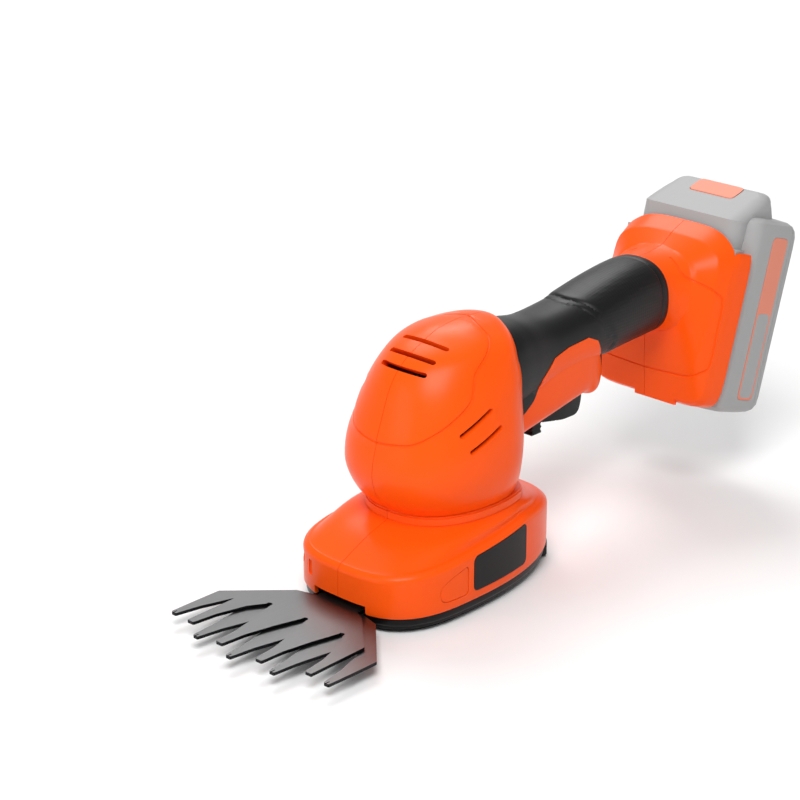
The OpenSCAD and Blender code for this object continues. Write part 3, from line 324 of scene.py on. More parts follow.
def stack_rows(drop=0.0):
    side = [base_row(SOLE_H - (4 if drop else 0), 0.8), base_row(SOLE_H + 1.2, 0.1),
            base_row(SOLE_H + 6, 0), base_row(RIM_Z - 5.5, 0, BASE_SLOPE)]
    rim = [base_row(RIM_Z + rise - drop, inset, BASE_SLOPE)
           for rise, inset in ((-2.4, 0), (-0.8, 0.5), (0.6, 2.2), (1.4, 4.4))]
    shoulder = [(RIM_Z + NECK_Z) / 2 + 1.7 - drop, (6 + NECK_FRONT - BASE_FRONT) / 2,
                (BASE_MID + NECK_MID) / 2, (NECK_REAR - 4 + BASE_REAR) / 2,
                (NECK_HALF_W + BASE_HALF_W) / 2 - 1, 2.7, 2.25, BASE_SLOPE * 0.44]
    top = smooth(rim + [shoulder, neck_row(NECK_Z - drop, 0)], 6)
    collar = [neck_row(z, grow) for z, grow in
              ((41.2, -0.7), (41.8, -0.7), (42, -0.3), (45.1, -0.3), (45.3, -1), (45.9, -1))]
    head = [head_row(key, drop) for key in smooth(HEAD_KEYS, 1 if drop else 8)]
    return side + top + ([] if drop else collar) + head


# Crease round the brow of the head
VISOR_LIFT = 0.9
VISOR_SOFT = 0.8
VISOR_LOW = 60
VISOR = [(-5, -0.5, 127.6), (-9.2, -10.7, 126.7), (-11.6, -19.2, 123.7), (-19, -25.1, 119.3),
         (-29.8, -27.5, 112.3), (-36, -30.7, 101.8), (-44.9, -29.3, 95), (-53.1, -25.8, 89.6),
         (-61.8, -17.4, 83.9), (-65.7, 0.5, 81.8)]


def visor_lift(ring):
    """Lifts the brow of the head a little, up to its crease."""
    line = np.array(VISOR)[:, [0, 2]]
    a, b = line[:-1], line[1:]
    out = []
    for x, y, z in ring:
        if z < VISOR_LOW:
            return ring
        p = np.array([x, z])
        t = np.clip(np.sum((p - a) * (b - a), 1) / np.sum((b - a) ** 2, 1), 0, 1)
        gap = p - (a + t[:, None] * (b - a))
        k = np.argmin(np.sum(gap ** 2, 1))
        way = b[k] - a[k]
        side = np.sign(way[0] * gap[k][1] - way[1] * gap[k][0])
        lift = VISOR_LIFT / (1 + math.exp(side * np.linalg.norm(gap[k]) / VISOR_SOFT))
        away = np.array([x + 22, y, (z - 88) * 0.8])
        out.append(np.array([x, y, z]) + lift * away / np.linalg.norm(away))
    return np.array(out)


SETTLE_DROP = 9
SETTLE_START_X = -4
SETTLE_TOP_Z = 75


def settle(ring):
    """Lowers the rear shoulder of the base, with the neck and the foot of the head above it."""
    x, z = ring[:, 0], ring[:, 2]
    back = np.clip((x - SETTLE_START_X) / (BASE_REAR - SETTLE_START_X), 0, 1) ** 1.3
    share = np.clip((z - SOLE_H - 6) / 9, 0, 1) * np.clip((SETTLE_TOP_Z - z) / 30, 0, 1)
    return np.column_stack([x, ring[:, 1], z - SETTLE_DROP * back * share])


def stack_form(name, inset=0.0):
    """Base, neck and head in one skin."""
    n = INNER_N if inset else RING_N
    rings = [settle(stack_ring(row, n, min(inset, row[4] * 0.6))) for row in stack_rows(inset)]
    return loft(name, rings if inset else [visor_lift(ring) for ring in rings])


def side_form(name, inset):
    """The upright side of the base."""
    rows = [base_row(SOLE_H + z, inset) for z in (-6, 40)]
    return loft(name, [stack_ring(row, RING_N) for row in rows])


def handle_form(name, inset=0.0, lift=None):
    rings = []
    for x, top, low, wide in smooth(HANDLE_KEYS, 14):
        ring = tube_ring([x, top, low, HANDLE_HALF_W + wide, HANDLE_POWER], 112, inset)
        rings.append(lift(ring) if lift else ring)
    return loft(name, rings)


def belly_form(name, inset=0.0):
    rings = []
    for x, top, low, half in smooth(BELLY_KEYS, 5):
        back = inset if x > 70 else 0
        rings.append(tube_ring([x - back, top, low, half, BELLY_POWER], 96, inset))
    return loft(name, rings)


def faceted(keys, soft):
    """Straight rows through the key rows, with each corner softened."""
    keys = np.asarray(keys, float)
    rows = [keys[0]]
    for before, key, after in zip(keys, keys[1:], keys[2:]):
        near = key + (before - key) * soft / (key[0] - before[0])
        far = key + (after - key) * soft / (after[0] - key[0])
        rows += [near, (near + 2 * key + far) / 4, far]
    return rows + [keys[-1]]


def dock_ring(row, n, inset=0):
    """A section of the dock: a box with its corners cut off, more so at the top."""
    v, top, low, narrow, power = row
    a = np.arange(n) * 2 * math.pi / n
    c, s = np.cos(a), np.sin(a)
    across, along = np.abs(c), np.abs(s)
    corner = np.where(s > 0, 0.458 * across + 0.7056 * along, 0.5 * across + 0.54 * along)
    size = (across ** power + along ** power + corner ** power) ** (1 / power)
    y = (DOCK_HALF_W - narrow - inset) * c / size
    u = (top + low) / 2 + ((top - low) / 2 - inset) * s / size
    return np.column_stack([np.full(n, v), y, u])


def dock_form(name, inset=0.0):
    n = INNER_N if inset else RING_N
    rows = [(v + inset, *rest) for v, *rest in faceted(DOCK_KEYS, 0.7)]
    return turn(loft(name, [dock_ring(row, n, inset) for row in rows]))


def flare_form(name):
    """The curve by which the handle widens into the dock."""
    handle = np.array(smooth(HANDLE_KEYS, 14))
    lean = np.array(Matrix.Rotation(TILT, 3, "Y"))
    wide = dock_ring([100.6, 167.6, 120.5, 9.8, 4], RING_N) @ lean.T
    rings = []
    for t in np.linspace(0, 1, 15):
        x = 123.8 + 8 * t
        top, low, half = (np.interp(x, handle[:, 0], handle[:, k]) for k in (1, 2, 3))
        slim = tube_ring([x, top, low, HANDLE_HALF_W + half, HANDLE_POWER], RING_N)
        rings.append(slim + (wide - slim) * t ** 2.4)
    return loft(name, rings)


def surface_of(piece):
    return BVHTree.FromObject(piece, bpy.context.evaluated_depsgraph_get())


def crease(surface, keys):
    """A thin tube that lies along a surface, to cut a line with."""
    path = [surface.find_nearest(Vector(p) * MM)[0] / MM for p in smooth(keys, 10)]
    return tube("line", path, CREASE_R, 10)


def mirrored(points):
    return [(x, -y, z) for x, y, z in points]


# Openings in the housing
TRIGGER_GAP = 7.85
LOCK_GAP = 3.35
BUTTON_X, BUTTON_Z = -57, 19.8
BUTTON = [(BUTTON_X + x, BUTTON_Z + z) for x, z in
          ((-6, -7), (8.4, -7), (8.4, 7), (-2, 4), (-8.4, 0.5), (-8.4, -4.5))]
BADGE = [(-44.5, 12.5), (-3.6, 12.5), (-3.6, 33.2), (-44.5, 29.9)]


def vent_tools():
    """Tools for the three slots in the brow and the two in each side of the head."""
    tools = []
    for x, z, lean in ((-34, 121, 20), (-43.5, 118, 35), (-50, 113.5, 50)):
        lean = math.radians(lean)
        outline = ribbon([(0.006 * y * y, y) for y in np.linspace(-13, 13, 15)], 1.3)
        slot = loft("vent", [[(x + p * math.cos(lean) - t * math.sin(lean), q,
                               z + p * math.sin(lean) + t * math.cos(lean)) for p, q in outline]
                             for t in (-10, 10)])
        tools.append(slot)
    for ends in (((-44, 87.5), (-27, 96)), ((-41, 79.8), (-23, 87.2))):
        path = [np.array(ends[0]) * (1 - t) + np.array(ends[1]) * t for t in (0, 0.5, 1)]
        for low, high in ((-50, -24), (24, 50)):
            tools.append(prism("vent", ribbon(path, 1.15), low, high))
    return tools


# Crease round the left face of the dock
DOCK_LINE = [(136.1, -9.9, 124.1), (134.7, -17.9, 119.2), (137.3, -24.6, 116.6), (141, -30.1, 113.9),
             (144.8, -33.7, 110.5), (147.4, -36.3, 105.2), (143.3, -36.6, 89), (139, -36, 73.5),
             (135.4, -33.1, 70.2), (133.2, -27.2, 67.4), (131.8, -13.7, 66.4), (131.6, 0.5, 65.8)]


def screw_posts():
    """The posts for the screws: their place, and whether they stand in the leaning dock."""
    return [(x, z, False) for x, z in SCREWS] + [(x, z, True) for x, z in DOCK_SCREWS]


def housing():
    """Both halves of the housing, hollow, with their openings."""
    body = stack_form("housing")
    combine(body, "UNION", dock_form("dock"), flare_form("flare"))
    grip_area = prism("grip_area", GRIP_OUTLINE, -100, 100)
    bare = combine(handle_form("bare"), "UNION", belly_form("belly"))
    combine(bare, "DIFFERENCE", grip_area)
    combine(body, "UNION", bare, handle_form("core", GRIP_T), belly_form("belly_core", GRIP_T),
            turn(prism("lug", [(111, 91), (112, 88.4), (113, 85.9), (115, 85.9), (115, 91)], -19, 6.5)))
    outer = twin(body, "outer")
    surface = surface_of(outer)
    hollow = stack_form("hollow", WALL)
    dock_hollow = combine(dock_form("dock_hollow", WALL), "DIFFERENCE",
                          turn(block("dock_wall", (DOCK_BACK - WALL, -90, 0), (200, 90, 300))))
    combine(hollow, "UNION", dock_hollow, handle_form("handle_hollow", GRIP_T + WALL),
            belly_form("belly_hollow", GRIP_T + WALL))
    combine(body, "DIFFERENCE", hollow)
    bosses = None
    for x, z, in_dock in screw_posts():
        boss = rod("boss", (x, -33 if in_dock else -60, z), (x, 60, z), BOSS_R)
        if in_dock:
            turn(boss)
        bosses = combine(bosses, "UNION", boss) if bosses else boss
    combine(bosses, "INTERSECT", outer)
    combine(body, "UNION", bosses)
    cuts = vent_tools()
    for x, z, in_dock in screw_posts():
        for radius, low, high in ((SCREW_R, -11, 8), (SCREW_HEAD_R, 7.3, 70)):
            hole = rod("hole", (x, low, z), (x, high, z), radius)
            cuts.append(turn(hole) if in_dock else hole)
    cuts += [
        block("blade_slot", (-BASE_FRONT - 5, -16.6, 0), (-BASE_FRONT + 13, 16.6, SOLE_H + 4.6)),
        block("front_recess", (-BASE_FRONT - 4, 18.6, 16.8), (-BASE_FRONT + 3, 21.6, 24.2)),
        prism("trigger_slot", rounded([(46.8, 59), (74.7, 59), (74.7, 81.4), (46.8, 81.4)], 2),
              -TRIGGER_GAP, TRIGGER_GAP),
        block("lock_slot", (37.25, -LOCK_GAP, 54), (46.95, LOCK_GAP, 75)),
        turn(block("channel", (DOCK_BACK, -CHANNEL_HALF_W, 104), (LIP_FRONT, CHANNEL_HALF_W, 400))),
        turn(block("channel_mouth", (DOCK_BACK, -LIP_HALF_W, 97.2), (160, LIP_HALF_W, 400))),
        *[turn(block("lip_end", (DOCK_BACK, low, 169.5), (130, high, 300))) for low, high in SIDES],
        turn(block("terminal_hole", (104, -18.1, 119.9), (116, 18.1, 150.1))),
        rod("pin_hole", (PIN_X, -15.1, PIN_Z), (PIN_X, 15.1, PIN_Z), PIN_HOLE_R),
    ]
    for low, high in SIDES:
        cuts.append(prism("button_hole", rounded(grown(BUTTON, 0.35), 2.4), low, high))
    badge_hole = prism("badge_hole", rounded(grown(BADGE, 0.15), 3.2), -60, 0)
    cuts.append(combine(badge_hole, "DIFFERENCE", side_form("badge_floor", 0.95)))
    for line in (VISOR, DOCK_LINE):
        for keys in (line, mirrored(line)):
            cuts.append(crease(surface, keys))
    combine(body, "DIFFERENCE", *cuts)
    tongue = twin(body, "tongue")
    combine(tongue, "INTERSECT", block("tongue_slab", (-300, 0.03 - SEAM, -100), (400, SEAM + 0.05, 400)),
            stack_form("tongue_core", 1.0))
    right = twin(body, "housing_right")
    body.name = "housing_left"
    combine(body, "DIFFERENCE", block("far", (-300, -SEAM, -100), (400, 300, 400)))
    combine(right, "DIFFERENCE", block("near", (-300, -300, -100), (400, SEAM, 400)))
    combine(right, "UNION", tongue)
    return body, right


GRIP_MID_Z = 103.0
GRIP_BANDS = (62.5, 66.5)
GRIP_BAND_DEPTH = 0.55
GRIP_STEP_X = 67.5
GRIP_STEP = 0.45
GRIP_END_X = 119


def grip_lift(ring):
    """Band lines, the raised rear part and the end ring of the grip."""
    out = []
    for x, y, z in ring:
        s = x - 0.02 * y * y - 0.5 * max(0, 112 - z)
        depth = 0.0
        for line in GRIP_BANDS:
            depth -= GRIP_BAND_DEPTH * math.exp(-((s - line) / 0.55) ** 2)
        depth += GRIP_STEP / (1 + math.exp(-(s - GRIP_STEP_X) / 0.5)) - GRIP_STEP
        depth -= 0.5 * math.exp(-((x - GRIP_END_X) / 0.5) ** 2)
        away = Vector((y, z - GRIP_MID_Z))
        if away.length > 1:
            away.normalize()
        out.append((x, y + depth * away.x, z + depth * away.y))
    return np.array(out)


def grip():
    """One rubber grip over the handle."""
    piece = handle_form("grip", 0.0, grip_lift)
    combine(piece, "UNION", belly_form("grip_belly"))
    area = rounded(GRIP_OUTLINE, 2.5)
    combine(piece, "INTERSECT", prism("grip_area", area, -100, 100))
    inner = combine(handle_form("grip_hollow", GRIP_T - 0.08), "UNION",
                    belly_form("grip_belly_hollow", GRIP_T - 0.08))
    head = loft("head_room", [stack_ring(head_row(key), RING_N, -0.3) for key in smooth(HEAD_KEYS, 6)])
    combine(piece, "DIFFERENCE", inner, head, dock_form("dock_room"))
    trigger_room = [(45.8, 59), (75.7, 59), (75.7, 82), (45.8, 82)]
    return combine(piece, "DIFFERENCE", prism("trigger_room", trigger_room, -8.2, 8.2))


def badge():
    """A plain plate let into the left side of the base."""
    piece = prism("badge", rounded(BADGE, 3), -60, 0)
    combine(piece, "INTERSECT", side_form("badge_face", -0.2))
    return combine(piece, "DIFFERENCE", side_form("badge_back", 0.85))


def release_button(name, side):
    """A button in one side of the base, with a flange and a pocket for its spring."""
    piece = prism(name, rounded(BUTTON, 2.2), *sorted((34 * side, 60 * side)))
    combine(piece, "INTERSECT", side_form("button_face", 0.15))
    flange = prism("flange", rounded(grown(BUTTON, 1.2), 2.4), *sorted((34 * side, 36.4 * side)))
    combine(piece, "UNION", flange)
    pocket = rod("pocket", (BUTTON_X, side * 30, BUTTON_Z), (BUTTON_X, side * 37.2, BUTTON_Z), 4.4)
    return combine(piece, "DIFFERENCE", pocket)


def sole():
    """The cover under the base, with ribs round its side and a lip at its heel."""
    def tray(name, rows):
        return loft(name, [stack_ring(base_row(z, inset), RING_N) for z, inset in rows])

    piece = tray("sole", [(0, 5.4), (0.25, 4.7), (1.2, 4.2), (1.9, 2.9), (2.4, 2.3), (3.8, 2), (4.4, 1.4),
                          (5.2, 1.15), (SOLE_H - 0.4, 1.15), (SOLE_H - 0.12, 1.4)])
    lip = tray("lip", [(1, 0.3), (1.5, -0.35), (SOLE_H - 0.5, -0.35), (SOLE_H - 0.12, 0)])
    lip_area = rounded([(24, -24), (60, -24), (60, 24), (24, 24)], 3)
    combine(lip, "INTERSECT", prism("lip_area", lip_area, -5, 40, "xy"))
    combine(piece, "UNION", lip)
    combine(piece, "DIFFERENCE", tray("sole_hollow", [(2.4, 6.6), (30, 6.6)]),
            block("sole_front", (-BASE_FRONT - 10, -18.5, 5.7), (-BASE_FRONT + 30, 18.5, 30)))
    return piece


# Blades
TIP_X = -161
TIP_CURVE = 210
GULLET_X = -115
GULLET_R = 1.5
TOOTH_PITCH = 25
FIXED_EDGE = 51.8
MOVING_EDGE = 39.3
PIVOT_X = -72
SPINDLE_X = -43
REST_SWING = math.radians(1.6)


def tip_x(y):
    return y * y / TIP_CURVE + TIP_X


def tooth(y, edge, setback, tip_half_w, low, high):
    """A tooth that widens to its root, with the line it stands on fanned out a little."""
    tip = tip_x(y) + setback

    def side(sign):
        rows = [(GULLET_X + 3, 0.92 * y, 10.1), (GULLET_X, 0.92 * y, 10.1), (tip + 28, 0.95 * y, 6.2),
                (tip + 13, 0.98 * y, 3), (tip + 0.5, y, tip_half_w + 0.4), (tip, y, tip_half_w)]
        return [(x, max(-edge, min(edge, mid + sign * half))) for x, mid, half in rows]

    return prism("tooth", side(-1) + side(1)[::-1], low, high, "xy")


def comb(name, teeth, edge, shoulder, neck, front, rear, tail, tail_half_w, low, high):
    """A comb blade: a plate with its teeth, cut to the outline of the blade."""
    near = [(rear, -tail_half_w), (tail, -tail_half_w), (tail, -neck), (front + 3, -neck),
            (front, -shoulder), (front - edge + shoulder, -edge), (-170, -edge)]
    outline = near + [(x, -y) for x, y in near[::-1]]
    piece = block(name, (GULLET_X + 1.5, -edge, low), (rear + 5, edge, high))
    combine(piece, "UNION", *teeth)
    return combine(piece, "INTERSECT", prism("outline", outline, low - 1, high + 1, "xy"))


def gullet(y):
    return rod("gullet", (GULLET_X + 0.5, y, 0), (GULLET_X + 0.5, y, 30), GULLET_R)


def soften(piece, width, segments=2):
    """Rounds the sharp edges of a piece."""
    bevel = piece.modifiers.new("bevel", "BEVEL")
    bevel.width = width * MM
    bevel.segments = segments
    bevel.limit_method = "ANGLE"
    bevel.angle_limit = math.radians(35)
    return bake(piece)


def fixed_blade():
    low, high = (v[2] for v in box_mm("fixed_blade"))
    mids = [TOOTH_PITCH * i for i in range(-2, 3)]
    teeth = [tooth(y, FIXED_EDGE, 0, 1.2, low, high) for y in mids]
    piece = comb("comb_fixed", teeth, FIXED_EDGE, 26, 15, -BASE_FRONT - 1.5, -14, -30, 18.5, low, high)
    holes = [rod("bolt_hole", (PIVOT_X, 0, 0), (PIVOT_X, 0, 30), 4.08)]
    holes += [rod("screw_hole", (-22, y, 0), (-22, y, 30), 1.58) for y in (-13, 13)]
    holes += [gullet(y) for y in (-34.5, -11.5, 11.5, 34.5)]
    for y in mids:
        tip = tip_x(y)
        holes.append(block("notch", (tip - 3, y - 0.3, high - 0.7), (tip + 2.2, y + 0.3, high + 1)))
    return combine(piece, "DIFFERENCE", *holes)


def moving_blade():
    low, high = (v[2] for v in box_mm("moving_blade"))
    teeth = [tooth(TOOTH_PITCH * i, MOVING_EDGE, 3.5, 1.7, low, high) for i in (-1.5, -0.5, 0.5, 1.5)]
    piece = comb("comb_moving", teeth, MOVING_EDGE, 19, 13.4, -BASE_FRONT - 4.5, -31.2, -54.3, 13.4,
                 low, high)
    holes = [rod("bolt_hole", (PIVOT_X, 0, 0), (PIVOT_X, 0, 30), 4.05),
             block("cam_slot", (SPINDLE_X - 7.3, -9.4, 0), (SPINDLE_X + 7.3, 9.4, 30))]
    holes += [gullet(y) for y in (-23, 0, 23)]
    combine(piece, "DIFFERENCE", *holes)
    swing = Matrix.Translation((PIVOT_X * MM, 0, 0)) @ Matrix.Rotation(REST_SWING, 4, "Z")
    piece.data.transform(swing @ Matrix.Translation((-PIVOT_X * MM, 0, 0)))
    return piece


# Trigger and lock-off tab
def trigger():
    outline = [(41, 86), (40, 82), (42, 78.4), (47.8, 77.4), (47.8, 62.9), (52.8, 60.4), (58.8, 59.4),
               (68, 59.4), (70.5, 61.4), (72, 66.9), (72.5, 75.4), (72.5, 80), (48, 80), (47, 86)]
    piece = prism("trigger_lever", rounded(outline, 2), -7.5, 7.5)
    lip = [(40.4, 64.4), (41.9, 62.6), (52.8, 60.4), (52.8, 66.6), (40.4, 66.6)]
    combine(piece, "UNION", block("nose", (58, -3, 79), (62, 3, 85.4)),
            *[prism("lip", rounded(lip, 1.2), low, high) for low, high in ((-7.5, -3.55), (3.55, 7.5))])
    combine(piece, "DIFFERENCE", rod("pin_hole", (PIN_X, -20, PIN_Z), (PIN_X, 20, PIN_Z), PIN_HOLE_R))
    return soften(piece, 0.9, 3)


def lock():
    piece = block("lock_slider", (40.6, -3, 55.5), (46.6, 3, 76.3))
    ribs = [prism("rib", rounded([(39.8, z), (47.2, z), (47.2, z + 1.3), (39.8, z + 1.3)], 0.5), -3, 3)
            for z in (54.5, 57.1, 59.7, 62.3)]
    combine(piece, "UNION", block("foot", (37.6, -5.5, 74), (46.6, 5.5, 76.3)),
            block("heel", (37.6, -3, 74), (39.6, 3, 80.8)), *ribs)
    return soften(piece, 0.25)


# Battery pack, drawn upright in its own leaning frame
PACK_SPLIT = 157.4
PACK_GAP = 0.12
PACK_WALL = 2
TOE_FRONT = 115
RAMP_LOW = 185
RAMP_RISE = 0.61
RAIL_LOW, RAIL_NECK_LOW, RAIL_TOP = 104.4, 100, 171
RAIL_GAP = 0.35
# Rows of the pack: height, front, back, half width
PACK_ROWS = [
    (86, 130, 154, 31), (86.3, 128.4, 157.5, 33), (87.2, 126.4, 161.5, 35.2), (88.8, 125, 164.2, 36.7),
    (91.5, 124.5, 165.9, 37.4), (96, 124.4, 166.4, 37.5), (176, 124.4, 166.4, 37.5),
    (181, 124.4, 166, 37.5), (184, 124.4, 165, 37.3), (186.4, 125, 163, 36.6),
    (187.9, 126.4, 160, 35), (188.5, 129, 155, 31.5),
]
# Rows of the block on top of the pack: height, back, half width
TOE_KEYS = [
    (164, 152, 30.6), (182, 152.4, 30.8), (185, 152, 30.9), (188, 150.8, 30.9), (191, 149.4, 30.7),
    (194, 148.6, 30.2), (196.5, 148, 29.3), (198.4, 147.3, 28), (199.7, 146.4, 26.2),
    (200.4, 145.2, 23.5),
]
TOE_HOLLOW = [(184.6, 118, 152, 30.6), (190, 126, 149.6, 30.2), (194, 132, 148.6, 29.4),
              (198, 138, 147.5, 27)]
LABEL = [(141.2, 94), (154.6, 94), (154.6, 180), (141.2, 180)]
LABEL_FIELD = [(142.4, 95.2), (153.4, 95.2), (153.4, 140), (142.4, 140)]
BUTTON_PLAN = [(130.5, -14), (140.5, -14), (140.5, 14), (130.5, 14)]


def ramp(v):
    """Height of the slope at the front of the block, at a depth."""
    return RAMP_LOW + (v - TOE_FRONT) * RAMP_RISE


def toe_rows():
    return [(u, TOE_FRONT + max(0, u - RAMP_LOW) / RAMP_RISE, back, half)
            for u, back, half in smooth(TOE_KEYS, 4)]


def pack_ring(row, inset, corner, n=9):
    """A level section of the pack: a box with round corners."""
    u, front, back, half = row
    front, back, half = front + inset, back - inset, half - inset
    r = min(corner, (back - front) * 0.45, half * 0.45)
    ring = []
    for cx, cy, start in ((back - r, half - r, 0), (front + r, half - r, 90), (front + r, r - half, 180),
                          (back - r, r - half, 270)):
        for a in np.radians(np.linspace(start, start + 90, n)):
            ring.append((cx + r * math.cos(a), cy + r * math.sin(a), u))
    return ring


def pack_body(name, inset=0.0):
    rows = [(u + (inset if u < 140 else -inset), *rest) for u, *rest in PACK_ROWS]
    return loft(name, [pack_ring(row, inset, 8) for row in rows])


def pack_shells():
    """The front shell with its block and rails, and the rear shell."""
    body = pack_body("pack")
    combine(body, "UNION", loft("toe", [pack_ring(row, 0, 7) for row in toe_rows()]))
    rear = twin(body, "pack_rear")
    toe_hollow = loft("toe_hollow", [pack_ring((u, max(v + 5, 126), back, half), PACK_WALL, 6)
                                     for u, v, back, half in TOE_HOLLOW])
    for piece in (body, rear):
        combine(piece, "DIFFERENCE", pack_body("pack_hollow", PACK_WALL))
    combine(body, "DIFFERENCE", toe_hollow)
    rail_w, neck_w, front = CHANNEL_HALF_W - RAIL_GAP, LIP_HALF_W - RAIL_GAP, DOCK_BACK + 0.4
    shelf = block("shelf", (124.4, -60, 182), (141.8, 60, 184))
    combine(shelf, "INTERSECT", pack_body("shelf_room"))
    combine(body, "UNION", block("rail", (front, -rail_w, RAIL_LOW), (LIP_FRONT - 0.4, rail_w, RAIL_TOP)),
            block("rail_neck", (front, -neck_w, RAIL_NECK_LOW), (124.9, neck_w, RAIL_TOP)), shelf)
    cuts = [block("rail_hollow", (front + 2.4, 3 - neck_w, 103), (front + 22.4, neck_w - 3, 162)),
            prism("button_hole", rounded(grown(BUTTON_PLAN, 0.3), 3), 190.6, 230, "xy"),
            block("flange_room", (128.9, -16, 184.2), (142, 16, 190.6)),
            block("rear_part", (PACK_SPLIT - PACK_GAP, -90, 0), (300, 90, 400))]
    cuts += [block("contact_slot", (front - 1, y - 1.7, 99), (front + 6.5, y + 1.7, 145))
             for y in (-15, -6, 6, 15)]
    cuts += [label_form("label_room", side, 0.15) for side in (-1, 1)]
    combine(body, "DIFFERENCE", *cuts)
    body.name = "pack_front"
    combine(rear, "DIFFERENCE", block("front_part", (0, -90, 0), (PACK_SPLIT + PACK_GAP, 90, 400)))
    return turn(body), turn(rear)


def label_form(name, side, gap=0.0, outline=LABEL, face=37.62):
    """A strip in one side of the pack, or with a gap, the room for it."""
    low, high = sorted((side * (37.2 - gap), side * (face + gap * 6)))
    return prism(name, rounded(grown(outline, gap), 3.2), low, high)


def pack_button():
    near, far = BUTTON_PLAN[0][0], BUTTON_PLAN[1][0]
    outline = [(near, 189.3), (far, 189.3), (far, ramp(far) + 0.4), (near, ramp(near) + 0.4)]
    piece = prism("pack_release", outline, -20, 20)
    combine(piece, "INTERSECT", prism("button_plan", rounded(BUTTON_PLAN, 2.6), 150, 230, "xy"))
    combine(piece, "UNION", block("flange", (129.5, -15.5, 188.7), (141.5, 15.5, 190.2)))
    return turn(piece)


# Materials
MIX_A, MIX_B, MIX_OUT = 6, 7, 2


def add(nodes, kind, **values):
    """A new shader node, with the values of its inputs by name, and _ for a space in a name."""
    node = nodes.new("ShaderNode" + kind)
    for name, value in values.items():
        node.inputs[name.replace("_", " ")].default_value = value
    return node


def material(name, colour, other, rough, grain=900.0, bump=0.15, metallic=0.0, gloss=0.2):
    """A finish with a fine grain, worked from the object's own coordinates."""
    finish = bpy.data.materials.new(name)
    finish.use_nodes = True
    nodes, links = finish.node_tree.nodes, finish.node_tree.links
    shader = nodes["Principled BSDF"]
    shader.inputs["Metallic"].default_value = metallic
    shader.inputs["Specular IOR Level"].default_value = gloss
    coordinates = add(nodes, "TexCoord")
    fine = add(nodes, "TexNoise", Scale=grain, Detail=3.0)
    broad = add(nodes, "TexNoise", Scale=22.0)
    mix = add(nodes, "Mix")
    mix.data_type = "RGBA"
    mix.inputs[MIX_A].default_value = (*colour, 1)
    mix.inputs[MIX_B].default_value = (*other, 1)
    share = add(nodes, "MapRange", To_Max=0.5)
    polish = add(nodes, "MapRange", To_Min=max(rough - 0.06, 0.03), To_Max=min(rough + 0.06, 1.0))
    relief = add(nodes, "Bump", Strength=bump, Distance=0.00008)
    for source, target in (
            (coordinates.outputs["Object"], fine.inputs["Vector"]),
            (coordinates.outputs["Object"], broad.inputs["Vector"]),
            (broad.outputs["Fac"], share.inputs["Value"]),
            (share.outputs["Result"], mix.inputs[0]),
            (mix.outputs[MIX_OUT], shader.inputs["Base Color"]),
            (fine.outputs["Fac"], polish.inputs["Value"]),
            (polish.outputs["Result"], shader.inputs["Roughness"]),
            (fine.outputs["Fac"], relief.inputs["Height"]),
            (relief.outputs["Normal"], shader.inputs["Normal"])):
        links.new(source, target)
    return finish


def ground_steel(name, colour, other, rough):
    """Ground sheet steel: streaks along x, and painted shade on its upright edge faces."""
    finish = material(name, colour, other, rough, 1400.0, 0.05, 1.0, 0.5)
    nodes, links = finish.node_tree.nodes, finish.node_tree.links
    shader, coordinates, body = nodes["Principled BSDF"], nodes["Texture Coordinate"], nodes["Mix"]
    stretch = add(nodes, "Mapping", Scale=(30, 2600, 2600))
    streak = add(nodes, "TexNoise", Scale=1.0)
    polish = add(nodes, "MapRange", To_Min=rough - 0.08, To_Max=rough + 0.08)
    # painted shade: faces that stand upright, the edges of the blade, take a near-black colour in place
    # of the steel
    facing = add(nodes, "SeparateXYZ")
    size = add(nodes, "Math")
    size.operation = "ABSOLUTE"
    flat = add(nodes, "MapRange", From_Min=0.2, From_Max=0.6)
    edge = add(nodes, "Mix")
    edge.data_type = "RGBA"
    edge.inputs[MIX_A].default_value = (0.02, 0.02, 0.022, 1)
    for source, target in (
            (coordinates.outputs["Object"], stretch.inputs["Vector"]),
            (stretch.outputs["Vector"], streak.inputs["Vector"]),
            (streak.outputs["Fac"], polish.inputs["Value"]),
            (polish.outputs["Result"], shader.inputs["Roughness"]),
            (coordinates.outputs["Normal"], facing.inputs["Vector"]),
            (facing.outputs["Z"], size.inputs[0]),
            (size.outputs["Value"], flat.inputs["Value"]),
            (flat.outputs["Result"], edge.inputs[0]),
            (body.outputs[MIX_OUT], edge.inputs[MIX_B]),
            (edge.outputs[MIX_OUT], shader.inputs["Base Color"])):
        links.new(source, target)
    return finish


def dotted_rubber(name, colour, other):
    """Rubber with a field of fine dots behind the band lines."""
    finish = material(name, colour, other, 0.42, 1600.0, 0.12, gloss=0.3)
    nodes, links = finish.node_tree.nodes, finish.node_tree.links
    shader, coordinates, grain = nodes["Principled BSDF"], nodes["Texture Coordinate"], nodes["Bump"]
    cells = add(nodes, "TexVoronoi", Scale=620.0, Randomness=0.1)
    parts = add(nodes, "SeparateXYZ")
    rear = add(nodes, "MapRange", From_Min=0.072, From_Max=0.076)
    dots = add(nodes, "Math")
    dots.operation = "MULTIPLY"
    relief = add(nodes, "Bump", Strength=0.35, Distance=0.0003)
    relief.invert = True
    for source, target in (
            (coordinates.outputs["Object"], cells.inputs["Vector"]),
            (coordinates.outputs["Object"], parts.inputs["Vector"]),
            (parts.outputs["X"], rear.inputs["Value"]),
            (cells.outputs["Distance"], dots.inputs[0]),
            (rear.outputs["Result"], dots.inputs[1]),
            (dots.outputs["Value"], relief.inputs["Height"]),
            (grain.outputs["Normal"], relief.inputs["Normal"]),
            (relief.outputs["Normal"], shader.inputs["Normal"])):
        links.new(source, target)
    return finish


